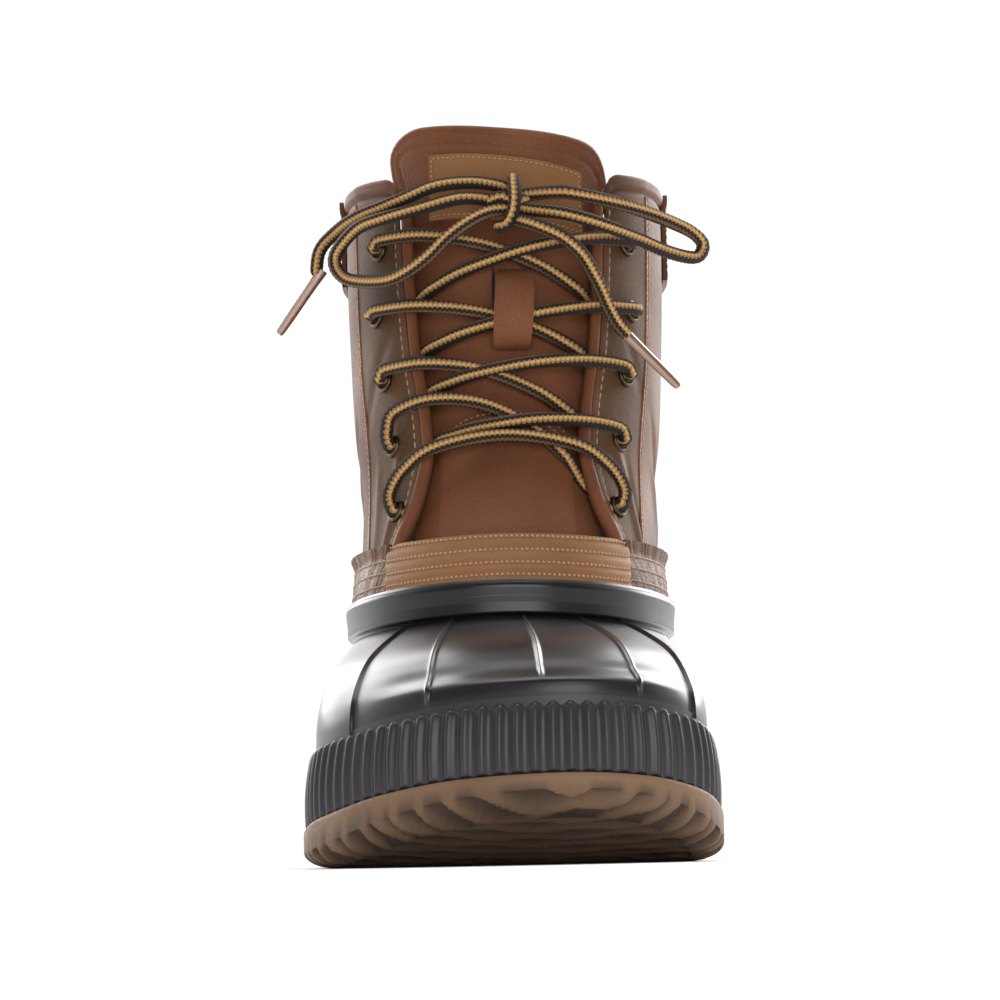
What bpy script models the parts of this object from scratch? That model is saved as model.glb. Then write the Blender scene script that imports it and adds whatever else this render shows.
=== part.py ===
"""Right-foot duck boot: gum outsole, ribbed rubber rand, rubber shell, leather shaft, tongue and round lace.

Metres, +Z up, toe towards -Y, wearer's outer (lateral) side towards -X. The origin is on the floor,
under the middle of the outsole.
"""

from collections import namedtuple
import math

import bmesh
import bpy
from mathutils import Matrix, Vector
import numpy as np

# Driving sizes of the sole
SOLE_LENGTH = 0.302
SOLE_WIDTH = 0.118
TOE_SPRING = 0.0160
ARCH_RISE = 0.0055
SOLE_EDGE = 0.010
TOE_EDGE_RISE = 0.0150
HEEL_EDGE_RISE = 0.0110
EDGE_ROUND = 0.009
GROOVE_DEPTH = 0.0028
GROOVE_WIDTH = 0.0040
GROOVE_PITCH = 0.0150
GROOVE_WAVE = 0.0035
GROOVE_WAVELENGTH = 0.030

# Rubber bottom of the upper
RAND_HEIGHT = 0.0220
RAND_THICKNESS = 0.0030
RAND_SET_IN = 0.0006
RAND_TOP_LEAN = 0.0018
RIB_PITCH = 0.0050
RIB_DEPTH = 0.0012
SHELL_WALL = 0.0020
SHELL_COLUMNS = 42
RIM_HEIGHT = 0.0820
BAND_HEIGHT = 0.0110
BAND_STEP = 0.0033
BAND_LEDGE = 0.0010
RIDGE_HEIGHT = 0.0013
RIDGE_WIDTH = 0.0030

# Leather shaft
COLLAR_HEIGHT = 0.2040
SHAFT_WIDTH = 0.1010
LEATHER = 0.0020
STRAP_HEIGHT = 0.0135
STRAP_THICKNESS = 0.0014
STRAP_FLARE = 0.0007
STRAP_TUCK = 0.0025
CUFF_HEIGHT = 0.0260
CUFF_THICKNESS = 0.0014
CUFF_COLUMNS = 8
THROAT_HALF = 0.0310
COLLAR_CORNER = 0.0080
BINDING_RADIUS = 0.0016

# Tongue, insole, eyelets and lace
TONGUE_THICKNESS = 0.0030
TONGUE_HALF = 0.0375
TONGUE_STANDS = 0.0155
TONGUE_SINKS = 0.0012
TONGUE_TILT = 0.0040
TONGUE_CORNER = 0.0130
TONGUE_SPREAD = 0.28
TONGUE_ARCH = 0.0056
PATCH_HALF = 0.0262
PATCH_SIDE = 0.0015
PATCH_HEIGHT = 0.0200
PATCH_THICKNESS = 0.0010
KEEPER_WIDTH = 0.0120
KEEPER_LENGTH = 0.0250
KEEPER_THICKNESS = 0.0012
KEEPER_HEIGHT = 0.1652
KEEPER_SIDE = 0.0030
INSOLE_THICKNESS = 0.0040
EYELET_HOLE = 0.0022
EYELET_BARREL = 0.0027
EYELET_FLANGE = 0.0037
EYELET_LIP = 0.0009
EYELET_TOP = 0.1860
EYELET_SPACING = 0.0204
EYELET_ROWS = 5
LACE = 0.0042
CROSS_OVER = 0.42
AGLET = 0.0030

LEATHER_OUT = -0.0014
GAP = 0.0003
HOLE_CLEARANCE = 0.0003
DENSE = 720

# Plan of the sole: along is the share of the length from the heel, the others are shares of the width.
Station = namedtuple("Station", "along lateral medial")
STATIONS = (
    Station(0.012, 0.130, 0.130),
    Station(0.045, 0.235, 0.235),
    Station(0.105, 0.310, 0.310),
    Station(0.200, 0.350, 0.345),
    Station(0.340, 0.362, 0.338),
    Station(0.460, 0.385, 0.335),
    Station(0.570, 0.440, 0.368),
    Station(0.670, 0.492, 0.435),
    Station(0.750, 0.500, 0.487),
    Station(0.830, 0.468, 0.500),
    Station(0.900, 0.370, 0.476),
    Station(0.950, 0.248, 0.410),
    Station(0.985, 0.090, 0.305),
)
TOE_TIP_SIDE = 0.135

# Heights of the sole along its length: shares of the toe spring, arch, toe edge rise and heel edge rise.
Height = namedtuple("Height", "along spring arch toe_edge heel_edge")
HEIGHTS = (
    Height(0.00, 0.24, 0.00, 0.00, 1.10),
    Height(0.06, 0.00, 0.00, 0.00, 1.00),
    Height(0.29, 0.00, 0.00, 0.00, 0.80),
    Height(0.33, 0.00, 0.90, 0.00, 0.70),
    Height(0.45, 0.00, 1.00, 0.00, 0.38),
    Height(0.55, 0.00, 0.00, 0.00, 0.10),
    Height(0.66, 0.00, 0.00, 0.00, 0.00),
    Height(0.78, 0.00, 0.00, 0.10, 0.00),
    Height(0.86, 0.16, 0.00, 0.34, 0.00),
    Height(0.93, 0.52, 0.00, 0.66, 0.00),
    Height(1.00, 1.00, 0.00, 1.00, 0.00),
)

# Wall of the shell from the rand's top (0) to the rim band (1): run goes inwards, rise goes up.
Wall = namedtuple("Wall", "run rise")
SHELL_WALLS = (
    Wall(0.000, 0.00),
    Wall(0.025, 0.22),
    Wall(0.110, 0.44),
    Wall(0.340, 0.66),
    Wall(0.680, 0.85),
    Wall(1.000, 1.00),
)

# Sections of the shaft: level 0 is the rim, 1 the collar. Front and back are shares of the sole's length
# from the toe, width is a share of the shaft's width, power squares the oval, skew narrows its heel end.
Section = namedtuple("Section", "level front back width power skew")
SECTIONS = (
    Section(-0.10, 0.308, 0.974, 0.935, 2.40, 0.13),
    Section(0.00, 0.315, 0.972, 0.930, 2.40, 0.13),
    Section(0.12, 0.350, 0.970, 0.908, 2.35, 0.13),
    Section(0.24, 0.383, 0.964, 0.902, 2.30, 0.11),
    Section(0.40, 0.417, 0.954, 0.948, 2.28, 0.09),
    Section(0.60, 0.451, 0.947, 0.978, 2.25, 0.07),
    Section(0.80, 0.478, 0.946, 0.998, 2.20, 0.05),
    Section(1.00, 0.500, 0.952, 1.000, 2.20, 0.03),
    Section(1.20, 0.518, 0.958, 1.005, 2.20, 0.03),
)

# Height of the rim and of the collar round the boot, as shares of the heights at the front.
Edge = namedtuple("Edge", "round rim collar")
EDGES = (
    Edge(0.00, 1.040, 0.990),
    Edge(0.12, 1.000, 0.990),
    Edge(0.25, 0.945, 1.014),
    Edge(0.36, 0.955, 1.024),
    Edge(0.50, 1.000, 1.016),
)

# Half-gap of the throat by level, as a share of its half-gap at the collar.
Throat = namedtuple("Throat", "level half")
THROAT = (
    Throat(0.08, 1.13),
    Throat(0.13, 1.06),
    Throat(0.18, 0.96),
    Throat(0.25, 0.87),
    Throat(0.33, 0.81),
    Throat(0.43, 0.84),
    Throat(0.56, 0.92),
    Throat(0.72, 0.97),
    Throat(1.00, 1.00),
    Throat(1.20, 1.00),
)

# Half-distance between the eyelets of each pair, from the top down, as a share of the shaft's width.
Pair = namedtuple("Pair", "half")
PAIRS = (Pair(0.378), Pair(0.388), Pair(0.363), Pair(0.340), Pair(0.330))

# Where each toe ridge stands at the rand and at the rim, as shares of their girths (the toe is at 0.5).
Ridge = namedtuple("Ridge", "foot rim")
RIDGES = (
    Ridge(0.403, 0.432),
    Ridge(0.454, 0.467),
    Ridge(0.503, 0.508),
    Ridge(0.544, 0.542),
    Ridge(0.579, 0.579),
)


def smooth(at, rows, column):
    """Reads a column of a table at the places given, along a curve through its rows."""
    xs = np.array([row[0] for row in rows], float)
    ys = np.array([getattr(row, column) for row in rows], float)
    slope = np.gradient(ys, xs)
    flat = (np.diff(ys)[:-1] * np.diff(ys)[1:]) <= 0
    slope[1:-1][flat] = 0.0
    at = np.clip(np.asarray(at, float), xs[0], xs[-1])
    i = np.clip(np.searchsorted(xs, at, side="right") - 1, 0, len(xs) - 2)
    width = xs[i + 1] - xs[i]
    t = (at - xs[i]) / width
    return (
        (2 * t**3 - 3 * t**2 + 1) * ys[i]
        + (t**3 - 2 * t**2 + t) * width * slope[i]
        + (3 * t**2 - 2 * t**3) * ys[i + 1]
        + (t**3 - t**2) * width * slope[i + 1]
    )


def along_sole(y):
    """The share of the sole's length from the heel, for a place y."""
    return np.clip(0.5 - np.asarray(y, float) / SOLE_LENGTH, 0.0, 1.0)


def sole_bottom(y):
    at = along_sole(y)
    return TOE_SPRING * smooth(at, HEIGHTS, "spring") + ARCH_RISE * smooth(at, HEIGHTS, "arch")


def sole_top(y):
    at = along_sole(y)
    toe = TOE_EDGE_RISE * smooth(at, HEIGHTS, "toe_edge")
    return SOLE_EDGE + toe + HEEL_EDGE_RISE * smooth(at, HEIGHTS, "heel_edge")


def catmull_rom(points, per_span):
    """A closed smooth curve through plan points."""
    p = np.asarray(points, float)
    before, after, far = np.roll(p, 1, axis=0), np.roll(p, -1, axis=0), np.roll(p, -2, axis=0)
    t = (np.arange(per_span) / per_span)[None, :, None]
    a, b, c, d = (q[:, None, :] for q in (before, p, after, far))
    curve = 0.5 * (2 * b + (c - a) * t + (2 * a - 5 * b + 4 * c - d) * t**2 + (3 * b - a - 3 * c + d) * t**3)
    return curve.reshape(-1, 2)


def sole_plan():
    """The sole's outline from the heel's middle round the outer side, the toe and the inner side."""
    half = SOLE_LENGTH / 2
    outer = [(-s.lateral * SOLE_WIDTH, half - s.along * SOLE_LENGTH) for s in STATIONS]
    inner = [(s.medial * SOLE_WIDTH, half - s.along * SOLE_LENGTH) for s in reversed(STATIONS)]
    toe = [(TOE_TIP_SIDE * SOLE_WIDTH, -half)]
    return catmull_rom([(0.0, half)] + outer + toe + inner, 24)


def shaft_plan(level):
    """The shaft's outline at a level, from the heel round the outer side and the front."""
    front, back, width, power, skew = (
        float(smooth(level, SECTIONS, column)) for column in ("front", "back", "width", "power", "skew")
    )
    turn = np.linspace(0.0, 2 * math.pi, DENSE, endpoint=False)
    across, length = np.sin(turn), np.cos(turn)
    rounded = np.sign(across) * np.abs(across) ** (2 / power)
    deep = np.sign(length) * np.abs(length) ** (2 / power)
    x = -rounded * width * SHAFT_WIDTH / 2 * (1 - skew * length)
    middle = SOLE_LENGTH * ((front + back) / 2 - 0.5)
    return np.stack([x, middle + deep * SOLE_LENGTH * (back - front) / 2], axis=1)


def read_plan(curve, shares, offset=0.0):
    """Plan points at shares of the curve's girth, moved outwards by offset."""
    ahead = np.roll(curve, -1, axis=0)
    steps = np.linalg.norm(ahead - curve, axis=1)
    girth = np.concatenate([[0.0], np.cumsum(steps)]) / steps.sum()
    tangent = ahead - np.roll(curve, 1, axis=0)
    tangent /= np.linalg.norm(tangent, axis=1)[:, None]
    moved = curve + offset * np.stack([tangent[:, 1], -tangent[:, 0]], axis=1)
    moved = np.vstack([moved, moved[:1]])
    shares = np.mod(np.asarray(shares, float), 1.0)
    return np.stack([np.interp(shares, girth, moved[:, k]) for k in (0, 1)], axis=1)


def girth_of(curve):
    return float(np.linalg.norm(np.roll(curve, -1, axis=0) - curve, axis=1).sum())


def folded(shares):
    """Distance round from the heel, the same on both sides: 0 at the heel, 0.5 at the front."""
    shares = np.mod(np.asarray(shares, float), 1.0)
    return np.minimum(shares, 1.0 - shares)


def rim_height(shares):
    return RIM_HEIGHT * smooth(folded(shares), EDGES, "rim")


def collar_height(shares):
    return COLLAR_HEIGHT * smooth(folded(shares), EDGES, "collar")


def shaft_points(level, shares, offset=0.0):
    """Points of the shaft's outer form at one level and several shares of its girth."""
    shares = np.atleast_1d(np.asarray(shares, float))
    plan = read_plan(shaft_plan(level), shares, offset)
    low = rim_height(shares)
    return np.column_stack([plan, low + level * (collar_height(shares) - low)])


def share_across(level, half):
    """The share of the girth, from the heel, at which the front's half-width has a given value."""
    shares = np.linspace(0.30, 0.50, 401)
    xs = read_plan(shaft_plan(level), shares)[:, 0]
    return float(np.interp(-half, xs, shares))


def throat_share(level):
    """The share of the girth at which the throat's edge lies."""
    return share_across(level, THROAT_HALF * float(smooth(level, THROAT, "half")))


def front_point(level, across, offset):
    """A point of the shaft's front at a level, a signed distance across from the middle."""
    share = 0.5 + across / girth_of(shaft_plan(level))
    return shaft_points(level, share, offset)[0]


def level_at(height, share=0.42):
    low, high = float(rim_height(share)), float(collar_height(share))
    return (height - low) / (high - low)


def material(name, colour, roughness, metallic=0.0):
    made = bpy.data.materials.new(name)
    made.use_nodes = True
    shader = made.node_tree.nodes["Principled BSDF"]
    shader.inputs["Base Color"].default_value = (*colour, 1.0)
    shader.inputs["Roughness"].default_value = roughness
    shader.inputs["Metallic"].default_value = metallic
    return made


def clear_scene():
    for obj in list(bpy.data.objects):
        bpy.data.objects.remove(obj)


def add_object(name, data, finish, collection):
    obj = bpy.data.objects.new(name, data)
    data.materials.append(finish)
    collection.objects.link(obj)
    return obj


def mesh_from(name, points, faces):
    mesh = bpy.data.meshes.new(name)
    mesh.from_pydata([tuple(p) for p in points], [], faces)
    mesh.update()
    return mesh


def sheet(name, rings, finish, collection, closed=True, hidden=None):
    """An open surface through rings of equal length; hidden(row, column) leaves a face out."""
    count = len(rings[0])
    spans = count if closed else count - 1
    faces = []
    for row in range(len(rings) - 1):
        for column in range(spans):
            if hidden and hidden(row, column):
                continue
            after = (column + 1) % count
            low, high = row * count, (row + 1) * count
            faces.append((low + column, low + after, high + after, high + column))
    mesh = mesh_from(name, np.vstack(rings), faces)
    work = bmesh.new()
    work.from_mesh(mesh)
    loose = [v for v in work.verts if not v.link_faces]
    bmesh.ops.delete(work, geom=loose, context="VERTS")
    work.to_mesh(mesh)
    work.free()
    return add_object(name, mesh, finish, collection)


def thicken(obj, thickness):
    """Adds the wall on the inner side of an open surface."""
    solidify = obj.modifiers.new("wall", "SOLIDIFY")
    solidify.thickness = thickness
    solidify.offset = -1.0
    solidify.use_even_offset = True
    solidify.use_quality_normals = True
    return obj


def slab(name, rings, finish, collection):
    """A solid through rings of equal, even length, closed below and above by strips across."""
    count = len(rings[0])
    faces = []
    for row in range(len(rings) - 1):
        for column in range(count):
            after = (column + 1) % count
            low, high = row * count, (row + 1) * count
            faces.append((low + column, low + after, high + after, high + column))
    top = (len(rings) - 1) * count
    for column in range(count // 2):
        left, right = (column, column + 1), (count - column, count - column - 1)
        corners = [left[0], left[1], right[1] % count, right[0] % count]
        strip = [c for i, c in enumerate(corners) if c not in corners[:i]]
        faces.append(tuple(top + c for c in strip))
        faces.append(tuple(reversed(strip)))
    return add_object(name, mesh_from(name, np.vstack(rings), faces), finish, collection)


def tube(name, points, radius, finish, collection, resolution=2):
    curve = bpy.data.curves.new(name, "CURVE")
    curve.dimensions = "3D"
    curve.bevel_depth = radius
    curve.bevel_resolution = resolution
    curve.use_fill_caps = True
    spline = curve.splines.new("POLY")
    spline.points.add(len(points) - 1)
    for place, point in zip(spline.points, points):
        place.co = (*point, 1.0)
    return add_object(name, curve, finish, collection)


def route(points, spacing):
    """Points read about a spacing apart from a smooth curve through chosen points."""
    p = np.asarray(points, float)
    p = np.vstack([2 * p[0] - p[1], p, 2 * p[-1] - p[-2]])
    line = []
    for a, b, c, d in zip(p[:-3], p[1:-2], p[2:-1], p[3:]):
        for t in np.linspace(0.0, 1.0, 16, endpoint=False):
            line.append(
                0.5 * (2 * b + (c - a) * t + (2 * a - 5 * b + 4 * c - d) * t**2 + (3 * b - a - 3 * c + d) * t**3)
            )
    line = np.array(line + [p[-2]])
    steps = np.concatenate([[0.0], np.cumsum(np.linalg.norm(np.diff(line, axis=0), axis=1))])
    at = np.linspace(0.0, steps[-1], max(3, round(steps[-1] / spacing) + 1))
    return np.stack([np.interp(at, steps, line[:, k]) for k in range(3)], axis=1)


def ring_at(curve, shares, offset, heights):
    """A ring of 3-D points: plan shares moved outwards by offset, at heights read from each place's y."""
    plan = read_plan(curve, shares, offset)
    return np.column_stack([plan, heights(plan[:, 1])])


def build_outsole(finish, parts, cutters):
    """Gum outsole: rounded edge, toe spring, arch, heel and wavy grooves between its lugs."""
    outline = sole_plan()
    shares = np.linspace(0.0, 1.0, 60, endpoint=False)
    rings = [
        ring_at(outline, shares, -EDGE_ROUND, sole_bottom),
        ring_at(outline, shares, -EDGE_ROUND / 3, lambda y: sole_bottom(y) + EDGE_ROUND / 6),
        ring_at(outline, shares, 0.0, lambda y: sole_bottom(y) + EDGE_ROUND / 2),
        ring_at(outline, shares, -RAND_SET_IN / 2, sole_top),
    ]
    outsole = slab("outsole", rings, finish, parts)
    for index, y in enumerate(groove_places()):
        cutter = groove_cutter(f"groove_{index}", y, cutters)
        cut = outsole.modifiers.new(cutter.name, "BOOLEAN")
        cut.operation = "DIFFERENCE"
        cut.object = cutter


def groove_places():
    """Middles of the grooves: forefoot and heel, none across the arch."""
    half = SOLE_LENGTH / 2
    ends = {"forefoot": (-half + GROOVE_PITCH, 0.42 * SOLE_LENGTH), "heel": (half - 0.27 * SOLE_LENGTH, 0.24 * SOLE_LENGTH)}
    places = []
    for start, length in ends.values():
        places += [start + i * GROOVE_PITCH for i in range(int(length / GROOVE_PITCH) + 1)]
    return places


def groove_cutter(name, middle, cutters):
    """A zigzag bar, as deep as a groove, across the whole sole."""
    reach = SOLE_WIDTH * 0.62
    turns = int(math.ceil(2 * reach / (GROOVE_WAVELENGTH / 2)))
    low, high = -GROOVE_DEPTH, float(sole_bottom(middle)) + GROOVE_DEPTH
    points, faces = [], []
    for i in range(turns + 1):
        x = -reach + i * GROOVE_WAVELENGTH / 2
        y = middle + GROOVE_WAVE * (1 if i % 2 else -1) / 2
        for dy, z in ((-1, low), (1, low), (1, high), (-1, high)):
            points.append((x, y + dy * GROOVE_WIDTH / 2, z))
    for i in range(turns):
        a, b = 4 * i, 4 * i + 4
        faces += [(a + j, a + (j + 1) % 4, b + (j + 1) % 4, b + j) for j in range(4)]
    faces.append((3, 2, 1, 0))
    faces.append(tuple(4 * turns + j for j in range(4)))
    mesh = mesh_from(name, points, faces)
    work = bmesh.new()
    work.from_mesh(mesh)
    bmesh.ops.recalc_face_normals(work, faces=work.faces)
    work.to_mesh(mesh)
    work.free()
    cutter = bpy.data.objects.new(name, mesh)
    cutters.objects.link(cutter)
    cutter.hide_render = True
    cutter.display_type = "WIRE"
    return cutter


def build_rand(finish, parts):
    """Ribbed rubber strip round the foot of the shell: its outer face zigzags from rib to rib."""
    outline = sole_plan()
    ribs = round(girth_of(outline) / RIB_PITCH)
    shares = np.arange(2 * ribs) / (2 * ribs)
    hollow = (np.arange(2 * ribs) % 2 == 1)[:, None]

    def outer_ring(extra, heights):
        crest, foot = (read_plan(outline, shares, -RAND_SET_IN - extra - d) for d in (0.0, RIB_DEPTH))
        plan = np.where(hollow, foot, crest)
        return np.column_stack([plan, heights(plan[:, 1])])

    def low(y):
        return sole_top(y) + GAP

    def high(y):
        return sole_top(y) + RAND_HEIGHT

    inner = -(RAND_SET_IN + RAND_THICKNESS)
    rings = [
        ring_at(outline, shares[::2], inner, low),
        outer_ring(0.0, low),
        outer_ring(RAND_TOP_LEAN, high),
        ring_at(outline, shares[::2], inner, high),
    ]
    starts = np.cumsum([0] + [len(ring) for ring in rings])
    faces = []
    for rib in range(ribs):
        near, far = rib, (rib + 1) % ribs
        crest, foot, after = 2 * rib, 2 * rib + 1, (2 * rib + 2) % (2 * ribs)
        low_out, high_out, high_in = (int(start) for start in starts[1:4])
        faces.append((near, far, low_out + after, low_out + foot, low_out + crest))
        faces.append((low_out + crest, low_out + foot, high_out + foot, high_out + crest))
        faces.append((low_out + foot, low_out + after, high_out + after, high_out + foot))
        faces.append((high_out + crest, high_out + foot, high_out + after, high_in + far, high_in + near))
        faces.append((high_in + near, high_in + far, far, near))
    add_object("rand", mesh_from("rand", np.vstack(rings), faces), finish, parts)


def shell_columns():
    """Shares of the girth at the rand and the rim for the shell's columns, three of them for each toe ridge."""
    half = RIDGE_WIDTH / 2 / girth_of(sole_plan())
    even = [
        share
        for share in np.linspace(0.0, 1.0, SHELL_COLUMNS, endpoint=False)
        if min(abs(share - ridge.foot) for ridge in RIDGES) > 3 * half
    ]
    ridges = [ridge.foot + step * half for ridge in RIDGES for step in (-1, 0, 1)]
    foot = np.array(sorted(even + ridges))
    at_foot = [0.0, 0.30, *[ridge.foot for ridge in RIDGES], 0.70, 1.0]
    at_rim = [0.0, 0.30, *[ridge.rim for ridge in RIDGES], 0.70, 1.0]
    crest = np.array([min(abs(share - ridge.foot) for ridge in RIDGES) < 1e-9 for share in foot])
    return foot, np.interp(foot, at_foot, at_rim), crest


def build_shell(finish, parts):
    """Moulded rubber bottom of the upper, with ridges over the toe and a raised band round its rim."""
    rim = shaft_plan(0.0)
    at_foot, at_rim, crest = shell_columns()
    foot = read_plan(sole_plan(), at_foot, -(RAND_SET_IN + RAND_THICKNESS + GAP))
    top = read_plan(rim, at_rim)
    low = sole_top(foot[:, 1]) + RAND_HEIGHT
    high = rim_height(at_rim) - BAND_HEIGHT
    rings = [np.column_stack([foot, sole_top(foot[:, 1]) + GAP])]
    for index, wall in enumerate(SHELL_WALLS):
        plan = foot + (top - foot) * wall.run
        z = low + (high - low) * wall.rise
        raised = RIDGE_HEIGHT * crest if 0 < index < len(SHELL_WALLS) - 1 else 0.0 * crest
        middle = np.array([TOE_TIP_SIDE * SOLE_WIDTH, 0.0]) * (1 - wall.run)
        outwards = plan - middle
        outwards /= np.maximum(np.linalg.norm(outwards, axis=1), 1e-9)[:, None]
        plan = plan + outwards * (raised * (1 - wall.rise))[:, None]
        rings.append(np.column_stack([plan, z + raised * (1 + wall.rise) / 2]))
    for offset, lift in ((BAND_STEP, BAND_LEDGE), (BAND_STEP, BAND_HEIGHT)):
        rings.append(np.column_stack([read_plan(rim, at_rim, offset), high + lift]))
    thicken(sheet("rubber_shell", rings, finish, parts), SHELL_WALL)


def build_insole(finish, parts):
    outline = sole_plan()
    shares = np.linspace(0.0, 1.0, 44, endpoint=False)
    inset = -(RAND_SET_IN + RAND_THICKNESS + SHELL_WALL + 6 * GAP)
    rings = [
        ring_at(outline, shares, inset, lambda y: sole_top(y) + GAP),
        ring_at(outline, shares, inset, lambda y: sole_top(y) + GAP + INSOLE_THICKNESS),
    ]
    slab("insole", rings, finish, parts)


# Columns of the leather from the heel (0) to the throat's edge (1), and on to the front's middle.
SIDE_COLUMNS = np.array([*np.linspace(0.0, 0.90, 12), 0.95, 0.98, 1.0])
FRONT_COLUMNS = np.array([0.25, 0.5, 0.75, 1.0])


def leather_shares(level):
    """Shares of the girth of the leather's columns at a level, all the way round."""
    edge = throat_share(level)
    side = SIDE_COLUMNS * edge
    front = edge + FRONT_COLUMNS * (0.5 - edge)
    half = np.concatenate([side, front])
    return np.concatenate([half, 1.0 - half[-2:0:-1]])


def corner_drop(shares, girth, edge):
    """How far the collar's edge falls where it rounds into the throat."""
    away = np.clip((edge - folded(shares)) * girth, 0.0, COLLAR_CORNER)
    return COLLAR_CORNER - np.sqrt(COLLAR_CORNER**2 - (COLLAR_CORNER - away) ** 2)


SHAFT_RISE = COLLAR_HEIGHT - RIM_HEIGHT
STRAP_LEVEL = STRAP_HEIGHT / SHAFT_RISE
CUFF_LEVEL = 1.0 - CUFF_HEIGHT / SHAFT_RISE
LEATHER_LEVELS = (0.0, STRAP_LEVEL / 2, STRAP_LEVEL, 0.18, 0.27, 0.40, 0.58, CUFF_LEVEL, 0.90, 1.0)


def leather_ring(level, offset=0.0):
    """Outer face of the leather at a level, one point for each column, moved outwards by offset."""
    return shaft_points(level, leather_shares(level), LEATHER_OUT + offset)


def build_leather_upper(finish, parts, cutters):
    """Leather shaft: one wall from inside the rim band to the collar, open at the throat."""
    bottom = leather_ring(0.0)
    bottom[:, 2] -= BAND_HEIGHT - BAND_LEDGE - SHELL_WALL - 2 * GAP
    rings = [bottom] + [leather_ring(level) for level in LEATHER_LEVELS]
    shares = leather_shares(1.0)
    rings[-1][:, 2] -= corner_drop(shares, girth_of(shaft_plan(1.0)), throat_share(1.0))
    side, count = len(SIDE_COLUMNS) - 1, len(rings[0])

    def in_throat(row, column):
        return row >= 3 and side <= column < count - side

    upper = thicken(sheet("leather_upper", rings, finish, parts, hidden=in_throat), LEATHER)
    for index, (place, outwards) in enumerate(eyelet_places()):
        bpy.ops.mesh.primitive_cylinder_add(vertices=8, radius=EYELET_BARREL + HOLE_CLEARANCE, depth=6 * LEATHER)
        cutter = bpy.context.object
        cutter.name = f"eyelet_hole_{index}"
        cutter.matrix_world = Matrix.Translation(place) @ outwards.to_track_quat("Z", "Y").to_matrix().to_4x4()
        move_to(cutter, cutters)
        cutter.hide_render = True
        cutter.display_type = "WIRE"
        cut = upper.modifiers.new(cutter.name, "BOOLEAN")
        cut.operation = "DIFFERENCE"
        cut.object = cutter


def move_to(obj, collection):
    for owner in list(obj.users_collection):
        owner.objects.unlink(obj)
    collection.objects.link(obj)


def eyelet_places():
    """Middle and outward direction of each eyelet on the leather's outer face, lateral ones first."""
    places = []
    for side in (-1, 1):
        for row in range(EYELET_ROWS):
            level = level_at(EYELET_TOP - row * EYELET_SPACING)
            share = share_across(level, PAIRS[row].half * SHAFT_WIDTH)
            share = share if side < 0 else 1.0 - share
            here, beside = shaft_points(level, [share, share + 0.004], LEATHER_OUT)
            above = shaft_points(level + 0.02, share, LEATHER_OUT)[0]
            outwards = Vector(beside - here).cross(Vector(above - here)).normalized()
            places.append((Vector(here), outwards))
    return places


def build_eyelets(finish, parts):
    """Turned metal eyelets: a barrel through the leather under a rounded flange."""
    profile = (
        (EYELET_FLANGE, GAP),
        (EYELET_BARREL, GAP),
        (EYELET_BARREL, -LEATHER),
        (EYELET_HOLE, -LEATHER),
        (EYELET_HOLE, GAP + EYELET_LIP),
        (EYELET_FLANGE - EYELET_LIP, GAP + EYELET_LIP),
    )
    steps = 8
    points, faces = [], []
    for turn in range(steps):
        angle = 2 * math.pi * turn / steps
        points += [(r * math.cos(angle), r * math.sin(angle), z) for r, z in profile]
    size = len(profile)
    for turn in range(steps):
        a, b = turn * size, (turn + 1) % steps * size
        faces += [(a + j, a + (j + 1) % size, b + (j + 1) % size, b + j) for j in range(size)]
    mesh = mesh_from("eyelet", points, faces)
    mesh.materials.append(finish)
    for index, (place, outwards) in enumerate(eyelet_places()):
        side = "lateral" if index < EYELET_ROWS else "medial"
        eyelet = bpy.data.objects.new(f"eyelet_{side}_{index % EYELET_ROWS + 1}", mesh)
        eyelet.location = place
        eyelet.rotation_mode = "QUATERNION"
        eyelet.rotation_quaternion = outwards.to_track_quat("Z", "Y")
        parts.objects.link(eyelet)


def tucked(rings, depth):
    """Rings with one more below them, straight down by depth."""
    below = rings[0].copy()
    below[:, 2] -= depth
    return [below] + rings


def part_of(ring, start, end):
    """Columns start to end of a ring, counted past its seam at the heel."""
    return ring[np.arange(start, end + 1) % len(ring)]


def build_straps(tan, brown, parts):
    """Strips over the joint of leather and rubber: tan over the vamp, brown round the sides and heel."""
    offset = GAP + STRAP_THICKNESS
    levels = (0.0, STRAP_LEVEL / 2, STRAP_LEVEL)
    rings = [leather_ring(level, offset) for level in levels]
    side, count = len(SIDE_COLUMNS) - 1, len(rings[0])
    raised = [leather_ring(level, offset + GAP) for level in levels]
    front = tucked([part_of(ring, side, count - side) for ring in raised], STRAP_TUCK)
    thicken(sheet("front_strap", front, tan, parts, closed=False), STRAP_THICKNESS)
    rings[2] = leather_ring(STRAP_LEVEL, offset + STRAP_FLARE)
    around = tucked([part_of(ring, -side, side) for ring in rings], STRAP_TUCK)
    for ring in around:
        for end, beside in ((0, 1), (-1, -2)):
            ring[end] += (ring[beside] - ring[end]) * 2 * GAP / np.linalg.norm(ring[beside] - ring[end])
    thicken(sheet("side_strap", around, brown, parts, closed=False), STRAP_THICKNESS)


def build_cuff(finish, parts):
    """Leather band round the back of the collar."""
    offset = GAP + CUFF_THICKNESS
    rings = [leather_ring(level, offset) for level in (CUFF_LEVEL, 0.90, 1.0)]
    rings[2][:, 2] -= GAP
    around = [part_of(ring, -CUFF_COLUMNS, CUFF_COLUMNS) for ring in rings]
    thicken(sheet("collar_cuff", around, finish, parts, closed=False), CUFF_THICKNESS)


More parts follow.
